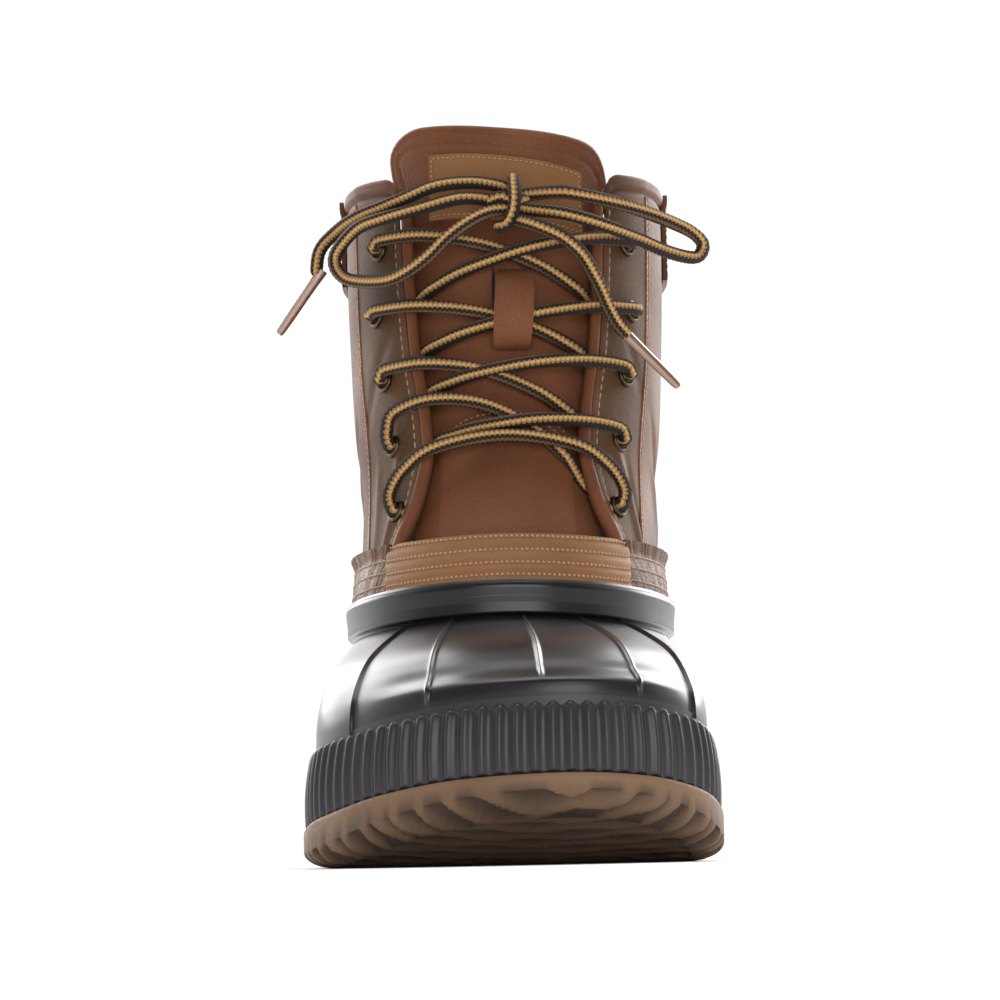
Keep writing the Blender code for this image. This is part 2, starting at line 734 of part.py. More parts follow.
def build_bindings(finish, parts):
    """Rolled edges of the throat, one beside each edge of the leather."""
    depth = LEATHER_OUT - LEATHER / 2
    for side, name in ((-1, "lateral"), (1, "medial")):
        points = []
        for level in (STRAP_LEVEL * 1.3, *LEATHER_LEVELS[3:-1], 0.94):
            edge = throat_share(level)
            share = edge + (BINDING_RADIUS + 2 * GAP) / girth_of(shaft_plan(level))
            share = share if side < 0 else 1.0 - share
            points.append(shaft_points(level, share, depth)[0])
        tube(f"throat_binding_{name}", points, BINDING_RADIUS, finish, parts, resolution=1)


TONGUE_OUT = LEATHER_OUT - LEATHER / 2 - BINDING_RADIUS - GAP * 3.5


def tongue_top(across):
    """Height of the tongue's upper edge: rounded corners, a little higher on the outer side."""
    place = across / TONGUE_HALF
    top = COLLAR_HEIGHT + TONGUE_STANDS - TONGUE_TILT * place - TONGUE_ARCH * (place**2 - 0.3)
    past = np.clip(abs(across) - (TONGUE_HALF - TONGUE_CORNER), 0.0, TONGUE_CORNER)
    return top - TONGUE_CORNER * (1 - math.sqrt(max(0.0, 1 - (past / TONGUE_CORNER) ** 2)) ** 0.8)


def tongue_grid(offset, columns, rows):
    """Rows of points up the tongue, from inside the strap to its upper edge."""
    start = RIM_HEIGHT + STRAP_HEIGHT / 4
    rings = []
    for up in rows:
        ring = []
        for across in columns:
            height = start + (tongue_top(across) - start) * up
            sunk = TONGUE_SINKS * max(0.0, 1 - up / 0.15)
            level = level_at(height, 0.5)
            spread = 1 + TONGUE_SPREAD * min(1.0, max(0.0, (level - 0.86) / 0.20))
            ring.append(front_point(level, across * spread, offset - sunk))
        rings.append(np.array(ring))
    return rings


def build_tongue(finish, parts):
    columns = TONGUE_HALF * np.array([-1, -0.96, -0.88, -0.74, -0.45, -0.15, 0.15, 0.45, 0.74, 0.88, 0.96, 1])
    rings = tongue_grid(TONGUE_OUT, columns, np.linspace(0.0, 1.0, 9))
    thicken(sheet("tongue", rings, finish, parts, closed=False), TONGUE_THICKNESS)


def build_patch(finish, parts):
    """Bare leather patch near the tongue's top."""
    middle = COLLAR_HEIGHT - 0.0005
    columns = PATCH_SIDE + np.linspace(-PATCH_HALF, PATCH_HALF, 9)
    rings = []
    for height in np.linspace(middle - PATCH_HEIGHT / 2, middle + PATCH_HEIGHT / 2, 4):
        ring = []
        for x in columns:
            level = level_at(height - TONGUE_TILT * x / TONGUE_HALF, 0.5)
            ring.append(front_point(level, x, TONGUE_OUT + 2 * GAP + PATCH_THICKNESS))
        rings.append(np.array(ring))
    thicken(sheet("tongue_patch", rings, finish, parts, closed=False), PATCH_THICKNESS)


def build_keeper(finish, parts):
    """Short strap bowed over the lace on the tongue."""
    bow = (1 + CROSS_OVER) * LACE + 5 * GAP
    columns = KEEPER_SIDE + np.linspace(-KEEPER_WIDTH / 2, KEEPER_WIDTH / 2, 3)
    rings = []
    for up in np.linspace(-0.5, 0.5, 9):
        height = KEEPER_HEIGHT + up * KEEPER_LENGTH
        lift = 2 * GAP + KEEPER_THICKNESS + bow * max(0.0, math.cos(math.pi * up)) ** 0.6
        rings.append(np.array([front_point(level_at(height, 0.5), x, TONGUE_OUT + lift) for x in columns]))
    thicken(sheet("lace_keeper", rings, finish, parts, closed=False), KEEPER_THICKNESS)


# A lace strand from its eyelet over the throat: across is the share of the way from the eyelet to the far
# edge, rise and fall are shares of its row's rise and fall, lift its height from the tongue to the eyelet.
Strand = namedtuple("Strand", "across rise fall lift")
STRAND = (
    Strand(0.00, 0.00, 0.00, 1.00),
    Strand(0.10, 0.75, 0.00, 1.20),
    Strand(0.30, 1.00, 0.04, 0.85),
    Strand(0.55, 1.00, 0.25, 0.30),
    Strand(0.80, 0.75, 0.62, 0.08),
    Strand(1.00, 0.40, 1.00, 0.00),
)
BAR = (
    Strand(0.00, 0.00, 0.00, 1.00),
    Strand(0.11, 0.60, 0.00, 1.25),
    Strand(0.25, 0.88, 0.00, 1.30),
    Strand(0.50, 1.00, 0.00, 0.70),
    Strand(0.75, 0.88, 0.00, 1.30),
    Strand(0.89, 0.60, 0.00, 1.25),
    Strand(1.00, 0.00, 0.00, 1.00),
)

# How far each row of lace rises and falls, as shares of the rows' spacing; the last one is the bar.
LaceRow = namedtuple("LaceRow", "rise fall")
LACE_ROWS = (
    LaceRow(0.12, 0.68),
    LaceRow(0.08, 0.60),
    LaceRow(0.36, 0.40),
    LaceRow(0.60, 0.12),
    LaceRow(1.08, 0.00),
)


def strand_points(rows, lace_row, height, start, end, side, over=0.0):
    """Places of a strand that starts at an eyelet on one side and crosses towards the other."""
    low = TONGUE_OUT + 2 * GAP + LACE / 2
    high = LEATHER_OUT + EYELET_LIP + 2 * GAP + LACE / 2
    points = []
    for row in rows:
        drop = lace_row.fall * row.fall - lace_row.rise * row.rise
        level = level_at(height - drop * EYELET_SPACING, 0.45)
        across = side * (start + row.across * (end - start))
        lift = over * LACE * max(0.0, 1.0 - abs(row.across - 0.58) / 0.3)
        points.append(front_point(level, across, low + row.lift * (high - low) + lift))
    return points


def eyelet_across(row):
    """Distance of an eyelet from the front's middle, round the shaft."""
    level = level_at(EYELET_TOP - row * EYELET_SPACING)
    return (0.5 - share_across(level, PAIRS[row].half * SHAFT_WIDTH)) * girth_of(shaft_plan(level))


def build_lacing(finish, parts):
    """Lace over the throat: a bar at the lowest pair of eyelets and a crossing above each other pair."""
    for row in range(EYELET_ROWS):
        height = EYELET_TOP - row * EYELET_SPACING
        start = -eyelet_across(row)
        if row == EYELET_ROWS - 1:
            points = strand_points(BAR, LACE_ROWS[row], height, start, -start, 1)
            tube("lace_bar", route(points, 2.6 * LACE), LACE / 2, finish, parts)
            continue
        gap = THROAT_HALF * float(smooth(level_at(height), THROAT, "half"))
        end = gap - 2 * BINDING_RADIUS - LACE / 2 - GAP
        strands = []
        for side, over in ((1, 0.0), (-1, CROSS_OVER)):
            points = route(strand_points(STRAND, LACE_ROWS[row], height, start, end, side, over), 2.8 * LACE)
            strands.append(tube(f"strand_{side}", points, LACE / 2, finish, parts))
        join_tubes(f"lace_row_{row + 1}", strands, finish, parts)


def join_tubes(name, tubes, finish, parts):
    """Fuses crossing tubes into one solid."""
    graph = bpy.context.evaluated_depsgraph_get()
    bodies = []
    for obj in tubes:
        mesh = bpy.data.meshes.new_from_object(obj.evaluated_get(graph))
        work = bmesh.new()
        work.from_mesh(mesh)
        bmesh.ops.remove_doubles(work, verts=work.verts, dist=0.00001)
        work.to_mesh(mesh)
        work.free()
        body = bpy.data.objects.new(f"{name}_{len(bodies)}", mesh)
        body.matrix_world = obj.matrix_world
        parts.objects.link(body)
        bodies.append(body)
        bpy.data.objects.remove(obj)
    first, second = bodies
    first.name = name
    union = first.modifiers.new("join", "BOOLEAN")
    union.operation = "UNION"
    union.object = second
    bpy.context.view_layer.update()
    graph = bpy.context.evaluated_depsgraph_get()
    fused = bpy.data.meshes.new_from_object(first.evaluated_get(graph))
    first.modifiers.clear()
    first.data = fused
    bpy.data.objects.remove(second)


def build_bow(lace, tip, parts):
    """Bow at the top of the throat: knot, two loops and two ends with aglets."""
    bpy.ops.mesh.primitive_uv_sphere_add(segments=10, ring_count=6, radius=1.0, location=KNOT_PLACE)
    knot = bpy.context.object
    knot.name = "lace_knot"
    knot.scale = KNOT_SIZE
    bpy.ops.object.transform_apply(location=False, rotation=False, scale=True)
    knot.data.materials.append(lace)
    move_to(knot, parts)
    for name, points in BOW_ROUTES.items():
        tube(name, route(points, 2.4 * LACE), LACE / 2, lace, parts)
    for name, points in AGLET_ROUTES.items():
        tube(name, points, AGLET / 2, tip, parts)


# The bow's routes, chosen by hand.
KNOT_PLACE = (0.0022, -0.0048, 0.1975)
KNOT_SIZE = (0.0056, 0.0058, 0.0064)
BOW_ROUTES = {
    "bow_loop_lateral": (
        (-0.0035, -0.0060, 0.1985),
        (-0.0125, -0.0080, 0.1988),
        (-0.0248, -0.0060, 0.1962),
        (-0.0361, -0.0010, 0.1942),
        (-0.0436, 0.0055, 0.1924),
        (-0.0490, 0.0110, 0.1880),
        (-0.0512, 0.0140, 0.1840),
        (-0.0500, 0.0130, 0.1800),
        (-0.0457, 0.0080, 0.1768),
        (-0.0360, -0.0030, 0.1752),
        (-0.0293, -0.0090, 0.1768),
        (-0.0224, -0.0130, 0.1808),
        (-0.0160, -0.0145, 0.1865),
        (-0.0090, -0.0135, 0.1915),
        (-0.0030, -0.0105, 0.1945),
    ),
    "bow_loop_medial": (
        (0.0080, -0.0050, 0.2000),
        (0.0173, -0.0080, 0.2002),
        (0.0227, -0.0080, 0.1995),
        (0.0334, -0.0030, 0.1975),
        (0.0442, 0.0045, 0.1948),
        (0.0522, 0.0105, 0.1922),
        (0.0573, 0.0140, 0.1900),
        (0.0606, 0.0165, 0.1870),
        (0.0602, 0.0165, 0.1838),
        (0.0573, 0.0140, 0.1822),
        (0.0496, 0.0075, 0.1834),
        (0.0415, 0.0000, 0.1862),
        (0.0334, -0.0070, 0.1890),
        (0.0254, -0.0115, 0.1915),
        (0.0173, -0.0125, 0.1935),
        (0.0080, -0.0090, 0.1950),
    ),
    "lace_end_lateral": (
        (-0.0025, -0.0035, 0.2035),
        (-0.0100, -0.0040, 0.2042),
        (-0.0197, -0.0045, 0.2032),
        (-0.0287, -0.0005, 0.2005),
        (-0.0361, 0.0045, 0.1985),
        (-0.0442, 0.0120, 0.1965),
        (-0.0510, 0.0200, 0.1930),
        (-0.0560, 0.0210, 0.1875),
        (-0.0573, 0.0210, 0.1793),
    ),
    "lace_end_medial": (
        (0.0032, -0.0094, 0.1924),
        (0.0105, -0.0162, 0.1893),
        (0.0173, -0.0175, 0.1860),
        (0.0218, -0.0165, 0.1825),
        (0.0248, -0.0150, 0.1790),
        (0.0272, -0.0135, 0.1745),
        (0.0293, -0.0120, 0.1700),
        (0.0313, -0.0105, 0.1650),
        (0.0340, -0.0085, 0.1600),
        (0.0376, -0.0060, 0.1560),
    ),
}
AGLET_ROUTES = {
    "aglet_lateral": ((-0.0577, 0.0213, 0.1783), (-0.0690, 0.0225, 0.1625)),
    "aglet_medial": ((0.0380, -0.0057, 0.1556), (0.0520, 0.0030, 0.1420)),
}


def main():
    clear_scene()
    parts = bpy.data.collections.new("duck_boot")
    cutters = bpy.data.collections.new("cutters")
    for collection in (parts, cutters):
        bpy.context.scene.collection.children.link(collection)
    gum = material("gum_rubber", (0.30, 0.18, 0.085), 0.62)
    rubber = material("dark_rubber", (0.030, 0.026, 0.030), 0.38)
    brown = material("brown_leather", (0.150, 0.062, 0.036), 0.45)
    tan = material("tan_leather", (0.235, 0.108, 0.042), 0.50)
    lining = material("insole_foam", (0.12, 0.08, 0.055), 0.90)
    lace = material("striped_lace", (0.16, 0.09, 0.035), 0.80)
    brass = material("antique_brass", (0.28, 0.20, 0.10), 0.38, 1.0)
    clear = material("aglet_film", (0.36, 0.26, 0.20), 0.25)
    build_outsole(gum, parts, cutters)
    build_rand(rubber, parts)
    build_shell(rubber, parts)
    build_insole(lining, parts)
    build_leather_upper(brown, parts, cutters)
    build_eyelets(brass, parts)
    build_straps(tan, brown, parts)
    build_cuff(brown, parts)
    build_bindings(brown, parts)
    build_tongue(brown, parts)
    build_patch(tan, parts)
    build_keeper(brown, parts)
    build_lacing(lace, parts)
    build_bow(lace, clear, parts)


main()
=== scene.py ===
"""Right-foot duck boot: the finish of every surface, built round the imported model.

Metres, +Z up, toe towards -Y, the wearer's outer (lateral) side towards -X.
"""

from collections import namedtuple
from functools import lru_cache
import math

import bpy
import numpy as np
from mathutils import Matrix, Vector


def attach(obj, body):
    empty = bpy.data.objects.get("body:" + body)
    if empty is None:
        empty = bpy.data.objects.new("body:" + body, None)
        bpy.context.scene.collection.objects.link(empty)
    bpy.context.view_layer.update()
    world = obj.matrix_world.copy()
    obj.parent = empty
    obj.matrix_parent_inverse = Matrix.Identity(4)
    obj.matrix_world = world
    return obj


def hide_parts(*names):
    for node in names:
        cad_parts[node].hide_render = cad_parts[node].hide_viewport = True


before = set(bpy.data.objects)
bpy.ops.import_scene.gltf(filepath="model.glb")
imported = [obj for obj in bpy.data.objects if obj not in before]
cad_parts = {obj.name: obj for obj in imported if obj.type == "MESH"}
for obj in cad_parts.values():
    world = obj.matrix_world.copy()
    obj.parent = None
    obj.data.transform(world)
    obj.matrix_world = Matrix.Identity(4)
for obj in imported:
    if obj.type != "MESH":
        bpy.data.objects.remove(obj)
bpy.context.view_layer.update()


# Camera: a long lens before the toe and square to it, rolled a little, as low as it can stand
# beside a boot that rests on a floor.
CAMERA_PLACE = Vector((0.013, -1.450, 0.005))
CAMERA_AIM = Vector((-0.002, -0.030, 0.1066))
CAMERA_ROLL = math.radians(-1.2)
LENS_TO_SENSOR = 4.853

bpy.ops.object.camera_add(location=CAMERA_PLACE)
camera = bpy.context.object
camera.name = "camera"
camera.data.sensor_width = 36.0
camera.data.lens = camera.data.sensor_width * LENS_TO_SENSOR
camera.rotation_euler = (CAMERA_AIM - CAMERA_PLACE).to_track_quat("-Z", "Y").to_euler()
camera.rotation_euler.rotate_axis("Z", CAMERA_ROLL)
bpy.context.scene.camera = camera
bpy.context.scene.view_settings.view_transform = "Standard"


# Bow: the free part of the round braided lace, 4.2 mm thick: two loops and two ends.
# It is braided from eight columns of stitches, wide gold and narrow brown between dark ones, and leaves
# the knot at the top of the throat. The gold faces the toe, as in the photo.
LACE = 0.0042
LACE_COLUMNS = 8
LACE_STITCH = 0.00150
LACE_RELIEF = 0.12
LACE_WANDER = 0.30
LACE_WANDER_PACE = 90.0
LACE_SHOWS = (0.0, -1.0, 0.12)
LACE_GOLD = (0.72, 0.41, 0.14, 1.0)
LACE_DARK = (0.020, 0.010, 0.007, 1.0)
LACE_BROWN = (0.33, 0.185, 0.080, 1.0)
BOW_ROUTES = {
    "bow_loop_lateral": (
        (-0.0035, -0.0060, 0.1985),
        (-0.0125, -0.0080, 0.1988),
        (-0.0248, -0.0060, 0.1962),
        (-0.0361, -0.0010, 0.1942),
        (-0.0436, 0.0055, 0.1924),
        (-0.0490, 0.0110, 0.1880),
        (-0.0512, 0.0140, 0.1840),
        (-0.0500, 0.0130, 0.1800),
        (-0.0457, 0.0080, 0.1768),
        (-0.0360, -0.0030, 0.1752),
        (-0.0293, -0.0090, 0.1768),
        (-0.0224, -0.0130, 0.1808),
        (-0.0160, -0.0145, 0.1865),
        (-0.0090, -0.0135, 0.1915),
        (-0.0030, -0.0105, 0.1945),
    ),
    "bow_loop_medial": (
        (0.0080, -0.0050, 0.2000),
        (0.0173, -0.0080, 0.2002),
        (0.0227, -0.0080, 0.1995),
        (0.0334, -0.0030, 0.1975),
        (0.0442, 0.0045, 0.1948),
        (0.0522, 0.0105, 0.1922),
        (0.0573, 0.0140, 0.1900),
        (0.0606, 0.0165, 0.1870),
        (0.0602, 0.0165, 0.1838),
        (0.0573, 0.0140, 0.1822),
        (0.0496, 0.0075, 0.1834),
        (0.0415, 0.0000, 0.1862),
        (0.0334, -0.0070, 0.1890),
        (0.0254, -0.0115, 0.1915),
        (0.0173, -0.0125, 0.1935),
        (0.0080, -0.0090, 0.1950),
    ),
    "lace_end_lateral": (
        (-0.0025, -0.0035, 0.2035),
        (-0.0100, -0.0040, 0.2042),
        (-0.0197, -0.0045, 0.2032),
        (-0.0287, -0.0005, 0.2005),
        (-0.0361, 0.0045, 0.1985),
        (-0.0442, 0.0120, 0.1965),
        (-0.0510, 0.0200, 0.1930),
        (-0.0560, 0.0210, 0.1875),
        (-0.0573, 0.0210, 0.1793),
    ),
    "lace_end_medial": (
        (0.0032, -0.0094, 0.1924),
        (0.0105, -0.0162, 0.1893),
        (0.0173, -0.0175, 0.1860),
        (0.0218, -0.0165, 0.1825),
        (0.0248, -0.0150, 0.1790),
        (0.0272, -0.0135, 0.1745),
        (0.0293, -0.0120, 0.1700),
        (0.0313, -0.0105, 0.1650),
        (0.0340, -0.0085, 0.1600),
        (0.0376, -0.0060, 0.1560),
    ),
}


def node(tree, kind, inputs=None, **settings):
    """Adds a node with its settings, its inputs fed by values or by other nodes' sockets."""
    made = tree.nodes.new(kind)
    for key, value in settings.items():
        setattr(made, key, value)
    for key, value in (inputs or {}).items():
        if isinstance(value, bpy.types.NodeSocket):
            tree.links.new(value, made.inputs[key])
        else:
            made.inputs[key].default_value = value
    return made


def maths(tree, operation, first, second=0.0, third=0.0):
    return node(tree, "ShaderNodeMath", {0: first, 1: second, 2: third}, operation=operation).outputs[0]


def mixed(tree, share, first, second):
    """Colour between two others."""
    made = node(tree, "ShaderNodeMix", data_type="RGBA")
    for key, value in ((0, share), (6, first), (7, second)):
        if isinstance(value, bpy.types.NodeSocket):
            tree.links.new(value, made.inputs[key])
        else:
            made.inputs[key].default_value = value
    return made.outputs[2]


def ramp(tree, value, stops, interpolation="LINEAR"):
    """Grey levels or colours read at stops (place, colour)."""
    made = node(tree, "ShaderNodeValToRGB", {0: value})
    made.color_ramp.interpolation = interpolation
    while len(made.color_ramp.elements) < len(stops):
        made.color_ramp.elements.new(1.0)
    for element, (place, colour) in zip(made.color_ramp.elements, stops):
        element.position = place
        element.color = colour if isinstance(colour, tuple) else (colour, colour, colour, 1.0)
    return made.outputs[0]


def noise(tree, place, scale, detail):
    return node(tree, "ShaderNodeTexNoise", {"Vector": place, "Scale": scale, "Detail": detail}).outputs[0]


def new_material(name, roughness, metallic=0.0, **sockets):
    """An empty finish: its tree and its Principled shader, with the values that are the same all over."""
    made = bpy.data.materials.new(name)
    made.use_nodes = True
    shader = made.node_tree.nodes["Principled BSDF"]
    shader.inputs["Roughness"].default_value = roughness
    shader.inputs["Metallic"].default_value = metallic
    for key, value in sockets.items():
        shader.inputs[key.replace("_", " ")].default_value = value
    return made, made.node_tree, shader


def bumped(tree, shader, height, strength, distance):
    bump = node(tree, "ShaderNodeBump", {"Height": height, "Strength": strength, "Distance": distance})
    tree.links.new(bump.outputs[0], shader.inputs["Normal"])


def lace_finish():
    """Braided lace: every column of stitches has its colour, and each stitch painted shade towards its edges.
    """
    made, tree, shader = new_material("striped_lace", 0.82)
    place = node(tree, "ShaderNodeSeparateXYZ", {0: node(tree, "ShaderNodeUVMap").outputs[0]})
    column = maths(tree, "MULTIPLY", place.outputs[0], LACE_COLUMNS)
    odd = maths(tree, "MODULO", maths(tree, "FLOOR", column), 2.0)
    staggered = maths(tree, "MULTIPLY", odd, 0.5)
    along = maths(tree, "MULTIPLY_ADD", place.outputs[1], 1.0 / LACE_STITCH, staggered)
    tooth = maths(tree, "PINGPONG", maths(tree, "DIVIDE", place.outputs[1], LACE_STITCH), 0.5)
    toothed = maths(tree, "MULTIPLY_ADD", tooth, 0.11, place.outputs[0])
    stitch = maths(tree, "PINGPONG", along, 0.5)
    side = maths(tree, "PINGPONG", column, 0.5)
    shape = maths(tree, "MULTIPLY", maths(tree, "MULTIPLY", stitch, 2.0), maths(tree, "MULTIPLY", side, 2.0))
    third = maths(tree, "FRACT", maths(tree, "MULTIPLY", toothed, LACE_COLUMNS / 4))
    colour = ramp(
        tree, third, ((0.0, LACE_GOLD), (0.28, LACE_DARK), (0.48, LACE_BROWN), (0.62, LACE_DARK)), "CONSTANT"
    )
    fibre = noise(tree, node(tree, "ShaderNodeTexCoord").outputs["Object"], 2600.0, 3.0)
    # Painted shade: each stitch darkens towards its edges, to a third of its colour, in the hollows between
    # stitches.
    edge = ramp(tree, shape, ((0.0, 0.35), (0.35, 1.0)))
    light = maths(tree, "MULTIPLY", edge, maths(tree, "ADD", fibre, 0.5))
    tree.links.new(mixed(tree, light, (0.006, 0.003, 0.002, 1.0), colour), shader.inputs["Base Color"])
    bumped(tree, shader, maths(tree, "ADD", shape, maths(tree, "MULTIPLY", fibre, 0.5)), 0.6, 0.0003)
    return made


def route(points, spacing):
    """Points a spacing apart on a smooth curve through chosen points."""
    p = np.asarray(points, float)
    p = np.vstack([2 * p[0] - p[1], p, 2 * p[-1] - p[-2]])
    t = np.linspace(0.0, 1.0, 24, endpoint=False)[:, None]
    spans = [
        0.5 * (2 * b + (c - a) * t + (2 * a - 5 * b + 4 * c - d) * t**2 + (3 * b - a - 3 * c + d) * t**3)
        for a, b, c, d in zip(p[:-3], p[1:-2], p[2:-1], p[3:])
    ]
    line = np.vstack(spans + [p[-2:-1]])
    steps = np.concatenate([[0.0], np.cumsum(np.linalg.norm(np.diff(line, axis=0), axis=1))])
    at = np.linspace(0.0, steps[-1], max(3, round(steps[-1] / spacing) + 1))
    return np.stack([np.interp(at, steps, line[:, k]) for k in range(3)], axis=1)


def length_of(line):
    return float(np.linalg.norm(np.diff(line, axis=0), axis=1).sum())


def frames_along(line):
    """Two directions square to a line, all along it, that don't twist."""
    ahead = np.gradient(line, axis=0)
    ahead /= np.linalg.norm(ahead, axis=1)[:, None]
    side = np.cross(ahead[0], (0.0, 0.0, 1.0) if abs(ahead[0][2]) < 0.9 else (0.0, 1.0, 0.0))
    sides = []
    for direction in ahead:
        side = side - direction * side.dot(direction)
        side = side / np.linalg.norm(side)
        sides.append(side)
    sides = np.array(sides)
    return sides, np.cross(ahead, sides)


def mark(piece, name, values):
    """Stores a value for each point of a piece, for its finish to read."""
    layer = piece.data.attributes.new(name, "FLOAT", "POINT")
    layer.data.foreach_set("value", np.asarray(values, np.float32).reshape(-1))


def lay(name, rows, uv=None, weld=False, **marks):
    """A grid laid on rows of points, its UV map in metres along the rows and up them."""
    rows = np.asarray(rows, float)
    deep, wide = rows.shape[:2]
    bpy.ops.object.select_all(action="DESELECT")
    bpy.ops.mesh.primitive_grid_add(x_subdivisions=wide - 1, y_subdivisions=deep - 1, calc_uvs=True)
    piece = bpy.context.object
    piece.name = piece.data.name = name
    piece.data.vertices.foreach_set("co", rows.reshape(-1))
    if uv is None:
        across = np.linalg.norm(np.diff(rows, axis=1), axis=2).cumsum(axis=1)
        up = np.linalg.norm(np.diff(rows, axis=0), axis=2).cumsum(axis=0)
        across = np.hstack([np.zeros((deep, 1)), across])
        up = np.vstack([np.zeros((1, wide)), up])
        uv = np.stack([across - across[:, -1:] / 2, up], axis=2)
    corners = np.empty(len(piece.data.loops), np.int32)
    piece.data.loops.foreach_get("vertex_index", corners)
    piece.data.uv_layers.active.data.foreach_set("uv", uv.reshape(-1, 2)[corners].reshape(-1))
    for key, values in marks.items():
        mark(piece, key, values)
    if weld:
        bpy.ops.object.mode_set(mode="EDIT")
        bpy.ops.mesh.select_all(action="SELECT")
        bpy.ops.mesh.remove_doubles(threshold=0.000001)
        bpy.ops.object.mode_set(mode="OBJECT")
    piece.data.update()
    return piece


def settle(piece, finish, slot, *nodes, angle=40.0):
    """Gives a piece its finish and soft shading, and ties it to the frame."""
    if not piece.data.materials:
        piece.data.materials.append(finish)
    bpy.ops.object.select_all(action="DESELECT")
    piece.select_set(True)
    bpy.context.view_layer.objects.active = piece
    bpy.ops.object.shade_smooth_by_angle(angle=math.radians(angle))
    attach(piece, "root")
    if nodes:
        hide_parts(*nodes)
    return piece


def lace_tube(name, points, finish, *nodes, tucked=()):
    """A length of lace: a grid rolled round its line, each stitch of the braid in relief, ends rounded in."""
    line = route([*tucked[:1], *points, *tucked[1:]], LACE_STITCH / 3)
    side, other = frames_along(line)
    distance = np.linspace(0.0, length_of(line), len(line))
    shares = np.arange(2 * LACE_COLUMNS + 1) / (2 * LACE_COLUMNS)
    seen = np.unwrap(np.arctan2(other @ LACE_SHOWS, side @ LACE_SHOWS)) - math.pi / LACE_COLUMNS
    seen += LACE_WANDER * np.sin(distance * LACE_WANDER_PACE)
    column = np.floor(shares * LACE_COLUMNS + 0.001)
    crest = (np.arange(2 * LACE_COLUMNS + 1) % 2 == 1).astype(float)
    phase = np.abs(((distance[:, None] / LACE_STITCH + 0.5 * (column % 2)) % 1.0) - 0.5) * 2
    relief = crest * (0.45 + 0.55 * (1 - phase**2))
    radius = LACE / 2 * (1 - LACE_RELIEF + LACE_RELIEF * relief)
    close = np.minimum(np.arange(len(line)), np.arange(len(line))[::-1])
    radius = radius * np.interp(close, (0, 1, 3, 5), (0.0, 0.55, 0.9, 1.0))[:, None]
    angle = 2 * math.pi * shares[None, :] + seen[:, None]
    outwards = np.cos(angle)[:, :, None] * side[:, None, :] + np.sin(angle)[:, :, None] * other[:, None, :]
    rows = line[:, None, :] + radius[:, :, None] * outwards
    uv = np.stack(np.broadcast_arrays(shares, distance[:, None]), axis=2)
    piece = lay(name, rows, uv, weld=True)
    settle(piece, finish, "striped_lace", *nodes, angle=80.0)
    return piece, line


AGLET = 0.0030
AGLET_SHARES = (-0.22, -0.22, -0.20, 0.0, 0.3, 0.6, 0.9, 0.97, 1.0, 1.0)
AGLET_WIDTHS = (0.0, 1.10, 1.22, 1.08, 1.0, 1.0, 0.92, 0.85, 0.65, 0.0)
AGLET_ROUTES = {
    "aglet_lateral": ((-0.0577, 0.0213, 0.1783), (-0.0690, 0.0225, 0.1625)),
    "aglet_medial": ((0.0380, -0.0057, 0.1556), (0.0520, 0.0030, 0.1420)),
}
FILM_COLOUR = (0.20, 0.085, 0.045, 1.0)
FILM_LIGHT = (0.62, 0.46, 0.36, 1.0)


def film_finish():
    """Clear film over the braid: the lace shows through in faint stripes."""
    made, tree, shader = new_material("aglet_film", 0.22, Coat_Weight=0.6, Coat_Roughness=0.12)
    place = node(tree, "ShaderNodeSeparateXYZ", {0: node(tree, "ShaderNodeUVMap").outputs[0]})
    stripe = maths(tree, "PINGPONG", maths(tree, "MULTIPLY", place.outputs[0], 3.0), 0.5)
    shows = ramp(tree, stripe, ((0.1, 0.0), (0.3, 0.75)))
    tree.links.new(mixed(tree, shows, FILM_COLOUR, FILM_LIGHT), shader.inputs["Base Color"])
    return made


def plain_tube(name, points, widths, around=16, flat=1.0):
    """A smooth tube along points, a radius for each; its ends close only where their radius is 0."""
    line = np.asarray(points, float)
    side, other = frames_along(line)
    turns = np.linspace(0.0, 2 * math.pi, around + 1)
    rows = (
        line[:, None, :]
        + (np.asarray(widths)[:, None] * np.cos(turns))[:, :, None] * side[:, None, :]
        + (np.asarray(widths)[:, None] * flat * np.sin(turns))[:, :, None] * other[:, None, :]
    )
    distance = np.linspace(0.0, length_of(line), len(line))
    uv = np.stack(np.broadcast_arrays(turns / (2 * math.pi), distance[:, None]), axis=2)
    return lay(name, rows, uv, weld=True)


striped_lace = lace_finish()
aglet_film = film_finish()
# Where the ends of each loop and each end tuck in under the knot's wrap
TUCKS = {
    "bow_loop_lateral": ((0.0025, -0.0050, 0.1975), (0.0030, -0.0080, 0.1955)),
    "bow_loop_medial": ((0.0030, -0.0045, 0.1985), (0.0030, -0.0085, 0.1960)),
    "lace_end_lateral": ((0.0030, -0.0035, 0.2020),),
    "lace_end_medial": ((0.0020, -0.0080, 0.1945),),
}
aglets = {}
for name, (start, end) in AGLET_ROUTES.items():
    line = np.array(start) + (np.array(end) - np.array(start)) * np.array(AGLET_SHARES)[:, None]
    line[1] = line[0] + (line[2] - line[0]) * 0.02
    line[-2] = line[-1] - (line[-1] - line[-3]) * 0.05
    widths = AGLET / 2 * np.array(AGLET_WIDTHS)
    aglet = settle(plain_tube(f"film_{name}", line, widths), aglet_film, "aglet_film", name)
    aglets[name.replace("aglet", "lace_end")] = aglet

for name, points in BOW_ROUTES.items():
    ends_in_aglet = name in aglets
    tucked = [TUCKS[name][0]] if ends_in_aglet else TUCKS[name]
    piece, line = lace_tube(f"braided_{name}", points, striped_lace, name, tucked=tucked)


